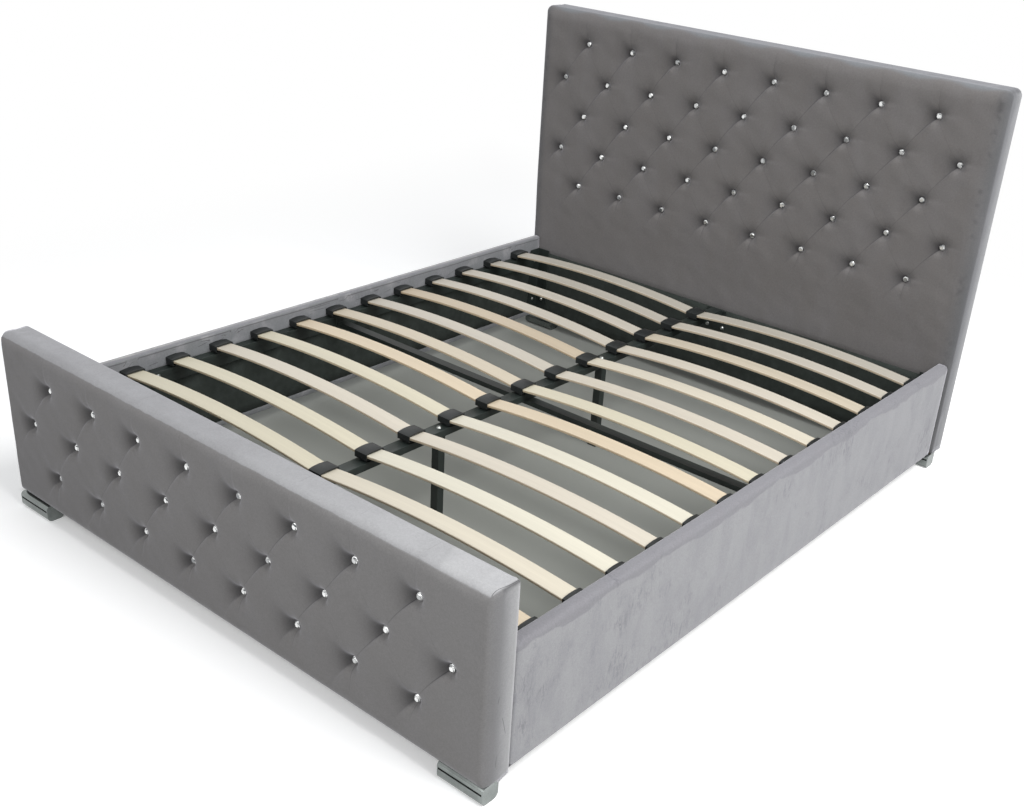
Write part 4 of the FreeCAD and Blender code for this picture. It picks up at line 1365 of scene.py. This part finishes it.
@dataclass
class Studio:
    """Pale floor, soft lamps and the camera of the photograph."""

    eye: tuple[float, float, float] = (2.06089, -2.538023, 1.768631)
    right: tuple[float, float, float] = (0.775508, 0.627244, 0.07178)
    down: tuple[float, float, float] = (0.336408, -0.31434, -0.887705)
    ahead: tuple[float, float, float] = (-0.534245, 0.712569, -0.454783)
    lens: float = 43.934
    sensor: float = 36.0
    shift: tuple[float, float] = (-0.05208, 0.04964)
    floor_half: float = 30.0
    floor_open: str = "#b2b2b0"
    # The floor under the bed is painted a darker grey as shade
    floor_under_bed: str = "#a3a5a0"
    sky: str = "#f4f6f8"

    # Axis, middle and half size of the patch of floor that is painted darker as the bed's shade
    UNDER_BED = ((0, -0.065, 0.855), (1, 0.035, 1.075))

    def camera(self) -> None:
        """Stand the camera where the photograph was taken from."""
        data = bpy.data.cameras.new("camera")
        data.lens = self.lens
        data.sensor_width = self.sensor
        data.shift_x, data.shift_y = self.shift
        data.clip_start, data.clip_end = 0.05, 60.0
        eye = bpy.data.objects.new("camera", data)
        bpy.context.scene.collection.objects.link(eye)
        turn = Matrix((self.right, [-c for c in self.down], [-c for c in self.ahead])).transposed().to_4x4()
        eye.matrix_world = Matrix.Translation(self.eye) @ turn
        bpy.context.scene.camera = eye

    def floor(self) -> None:
        """Lay a pale floor that keeps the bed's shadow and turns plain white further away."""
        bm = bmesh.new()
        bmesh.ops.create_grid(bm, x_segments=1, y_segments=1, size=self.floor_half)
        floor = settle(bm, "studio_floor")
        made, tree, out = new_material("pale_studio_floor")
        seen = seen_directly(tree)
        spot = add_node(tree, "SeparateXYZ", {0: object_place(tree)})
        away = []
        for axis, middle, half in self.UNDER_BED:
            size = calc(tree, "ABSOLUTE", calc(tree, "SUBTRACT", spot.outputs[axis], middle))
            away.append(calc(tree, "SUBTRACT", size, half))
        away = calc(tree, "MAXIMUM", *away)
        # Under the bed, and close behind it, the floor is painted a darker grey as shade, which shows between the
        # slats
        open_floor = ramp(tree, away, -0.030, 0.020, how="SMOOTHSTEP")
        far = ramp(tree, away, 0.5, 2.2, how="SMOOTHSTEP")
        colour = blend_colours(tree, seen, linear(self.floor_open), WHITE)
        colour = blend_colours(tree, open_floor, linear(self.floor_under_bed), colour)
        matt = add_node(tree, "BsdfDiffuse", {"Color": colour})
        lift = calc(tree, "MULTIPLY", calc(tree, "MULTIPLY", open_floor, seen), 0.2)
        glow = add_node(tree, "Emission", {"Color": WHITE, "Strength": lift})
        near = add_node(tree, "AddShader", {0: matt.outputs[0], 1: glow.outputs[0]})
        white = add_node(tree, "Emission", {"Color": WHITE, "Strength": 1.0})
        share = calc(tree, "MULTIPLY", far, seen)
        mix = add_node(tree, "MixShader", {0: share, 1: near.outputs[0], 2: white.outputs[0]})
        tree.links.new(mix.outputs[0], out.inputs[0])
        dress(floor, made)

    def world(self) -> None:
        """Light everything softly from all round, and show white behind the bed."""
        world = bpy.data.worlds.new("studio_world")
        bpy.context.scene.world = world
        world.use_nodes = True
        tree = world.node_tree
        tree.nodes.clear()
        soft = add_node(tree, "Background", {"Color": linear(self.sky), "Strength": 0.5})
        white = add_node(tree, "Background", {"Color": WHITE, "Strength": 1.0})
        mix = add_node(tree, "MixShader", {0: seen_directly(tree), 1: soft.outputs[0], 2: white.outputs[0]})
        tree.links.new(mix.outputs[0], add_node(tree, "OutputWorld").inputs[0])

    @staticmethod
    def lamp(name: str, place: tuple[float, float, float], aim: tuple[float, float, float], size: float,
             watts: float) -> None:
        """Hang one large soft lamp.

        Args:
            name: Name of the lamp.
            place: Where it hangs.
            aim: Point that it faces.
            size: Side of its square face in metres.
            watts: Its power.
        """
        data = bpy.data.lights.new(name, "AREA")
        data.shape = "SQUARE"
        data.size = size
        data.energy = watts
        lamp = bpy.data.objects.new(name, data)
        bpy.context.scene.collection.objects.link(lamp)
        lamp.location = place
        lamp.rotation_euler = (Vector(aim) - Vector(place)).to_track_quat("-Z", "Y").to_euler()

    def build(self) -> None:
        """Set up the camera, the floor and the light."""
        self.camera()
        self.floor()
        self.world()
        self.lamp("key_lamp", (3.8, -0.2, 4.4), (0.1, 0.0, 0.4), 3.4, 285.0)
        self.lamp("fill_lamp", (1.2, -6.0, 3.2), (0.0, 0.0, 0.4), 4.0, 135.0)
        bpy.context.scene.view_settings.view_transform = "Standard"
        log.info("studio: camera, floor and two lamps")


def boards() -> list[TuftedBoard]:
    """List the headboard and the footboard with their velvets."""
    # Pale tones hold painted sheen and top light, flank tones painted shade, and bright tones painted highlights
    head = VelvetFinish("head_velvet", deep="#73706f", pale="#797c7f", flank="#5c5d5f", bright="#9a9b9c",
                        brushed="#7d7b7d", soft=0.42, ragged=0.2)
    foot = VelvetFinish("foot_velvet", deep="#767473", pale="#99999b", flank="#646465", bright="#b4b4b5",
                        brushed="#807f80")
    return [
        TuftedBoard("headboard", front=1.0115, back=1.0934, top=1.176, rows=5, top_row=1.072, zone_low=0.4696,
                    velvet=head, seed=11, border=0.006, scallop=0.005, corner=0.022, lining_in_front=True),
        TuftedBoard("footboard", front=-1.0815, back=-1.0125, top=0.504, rows=3, top_row=0.403, zone_low=FLOOR_GAP,
                    velvet=foot, seed=23, shoulder=0.034, side_shoulder=0.015, lining_behind=True, seat_above=0.0035,
                    droop=0.013)]


def main() -> None:
    """Build every sub-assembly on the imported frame."""
    logging.basicConfig(level=logging.INFO, format="%(name)s %(message)s")
    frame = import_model()
    nodes = frame["nodes"]
    Studio().build()
    crystal = CrystalFinish().material()
    for board in boards():
        board.build(crystal)
    # The rails' pale tone is partly painted sheen, and their bright tone is the painted highlight on the left rail's
    # top
    rails = VelvetFinish("rail_velvet", deep="#868589", pale="#99999b", flank="#7f8183", bright="#bdbcb8",
                         brushed="#87878b", patch_mm=60.0, patch_strength=0.55, stroke_strength=0.8,
                         soft=0.2).material()
    for side in (1, -1):
        SideRail(side).build(rails)
    black = PlainFinish("black_non_woven_cloth", "#2c322e", "#353b38", 0.95, grain_mm=1.2, grain_depth_mm=0.1,
                        mottle_mm=25.0).material()
    for cloth in linings():
        cloth.build(black)
    SlatBase().build(nodes)
    HiddenTimber().build(nodes)
    ChromeFeet().build(nodes)


if __name__ == "__main__":
    main()
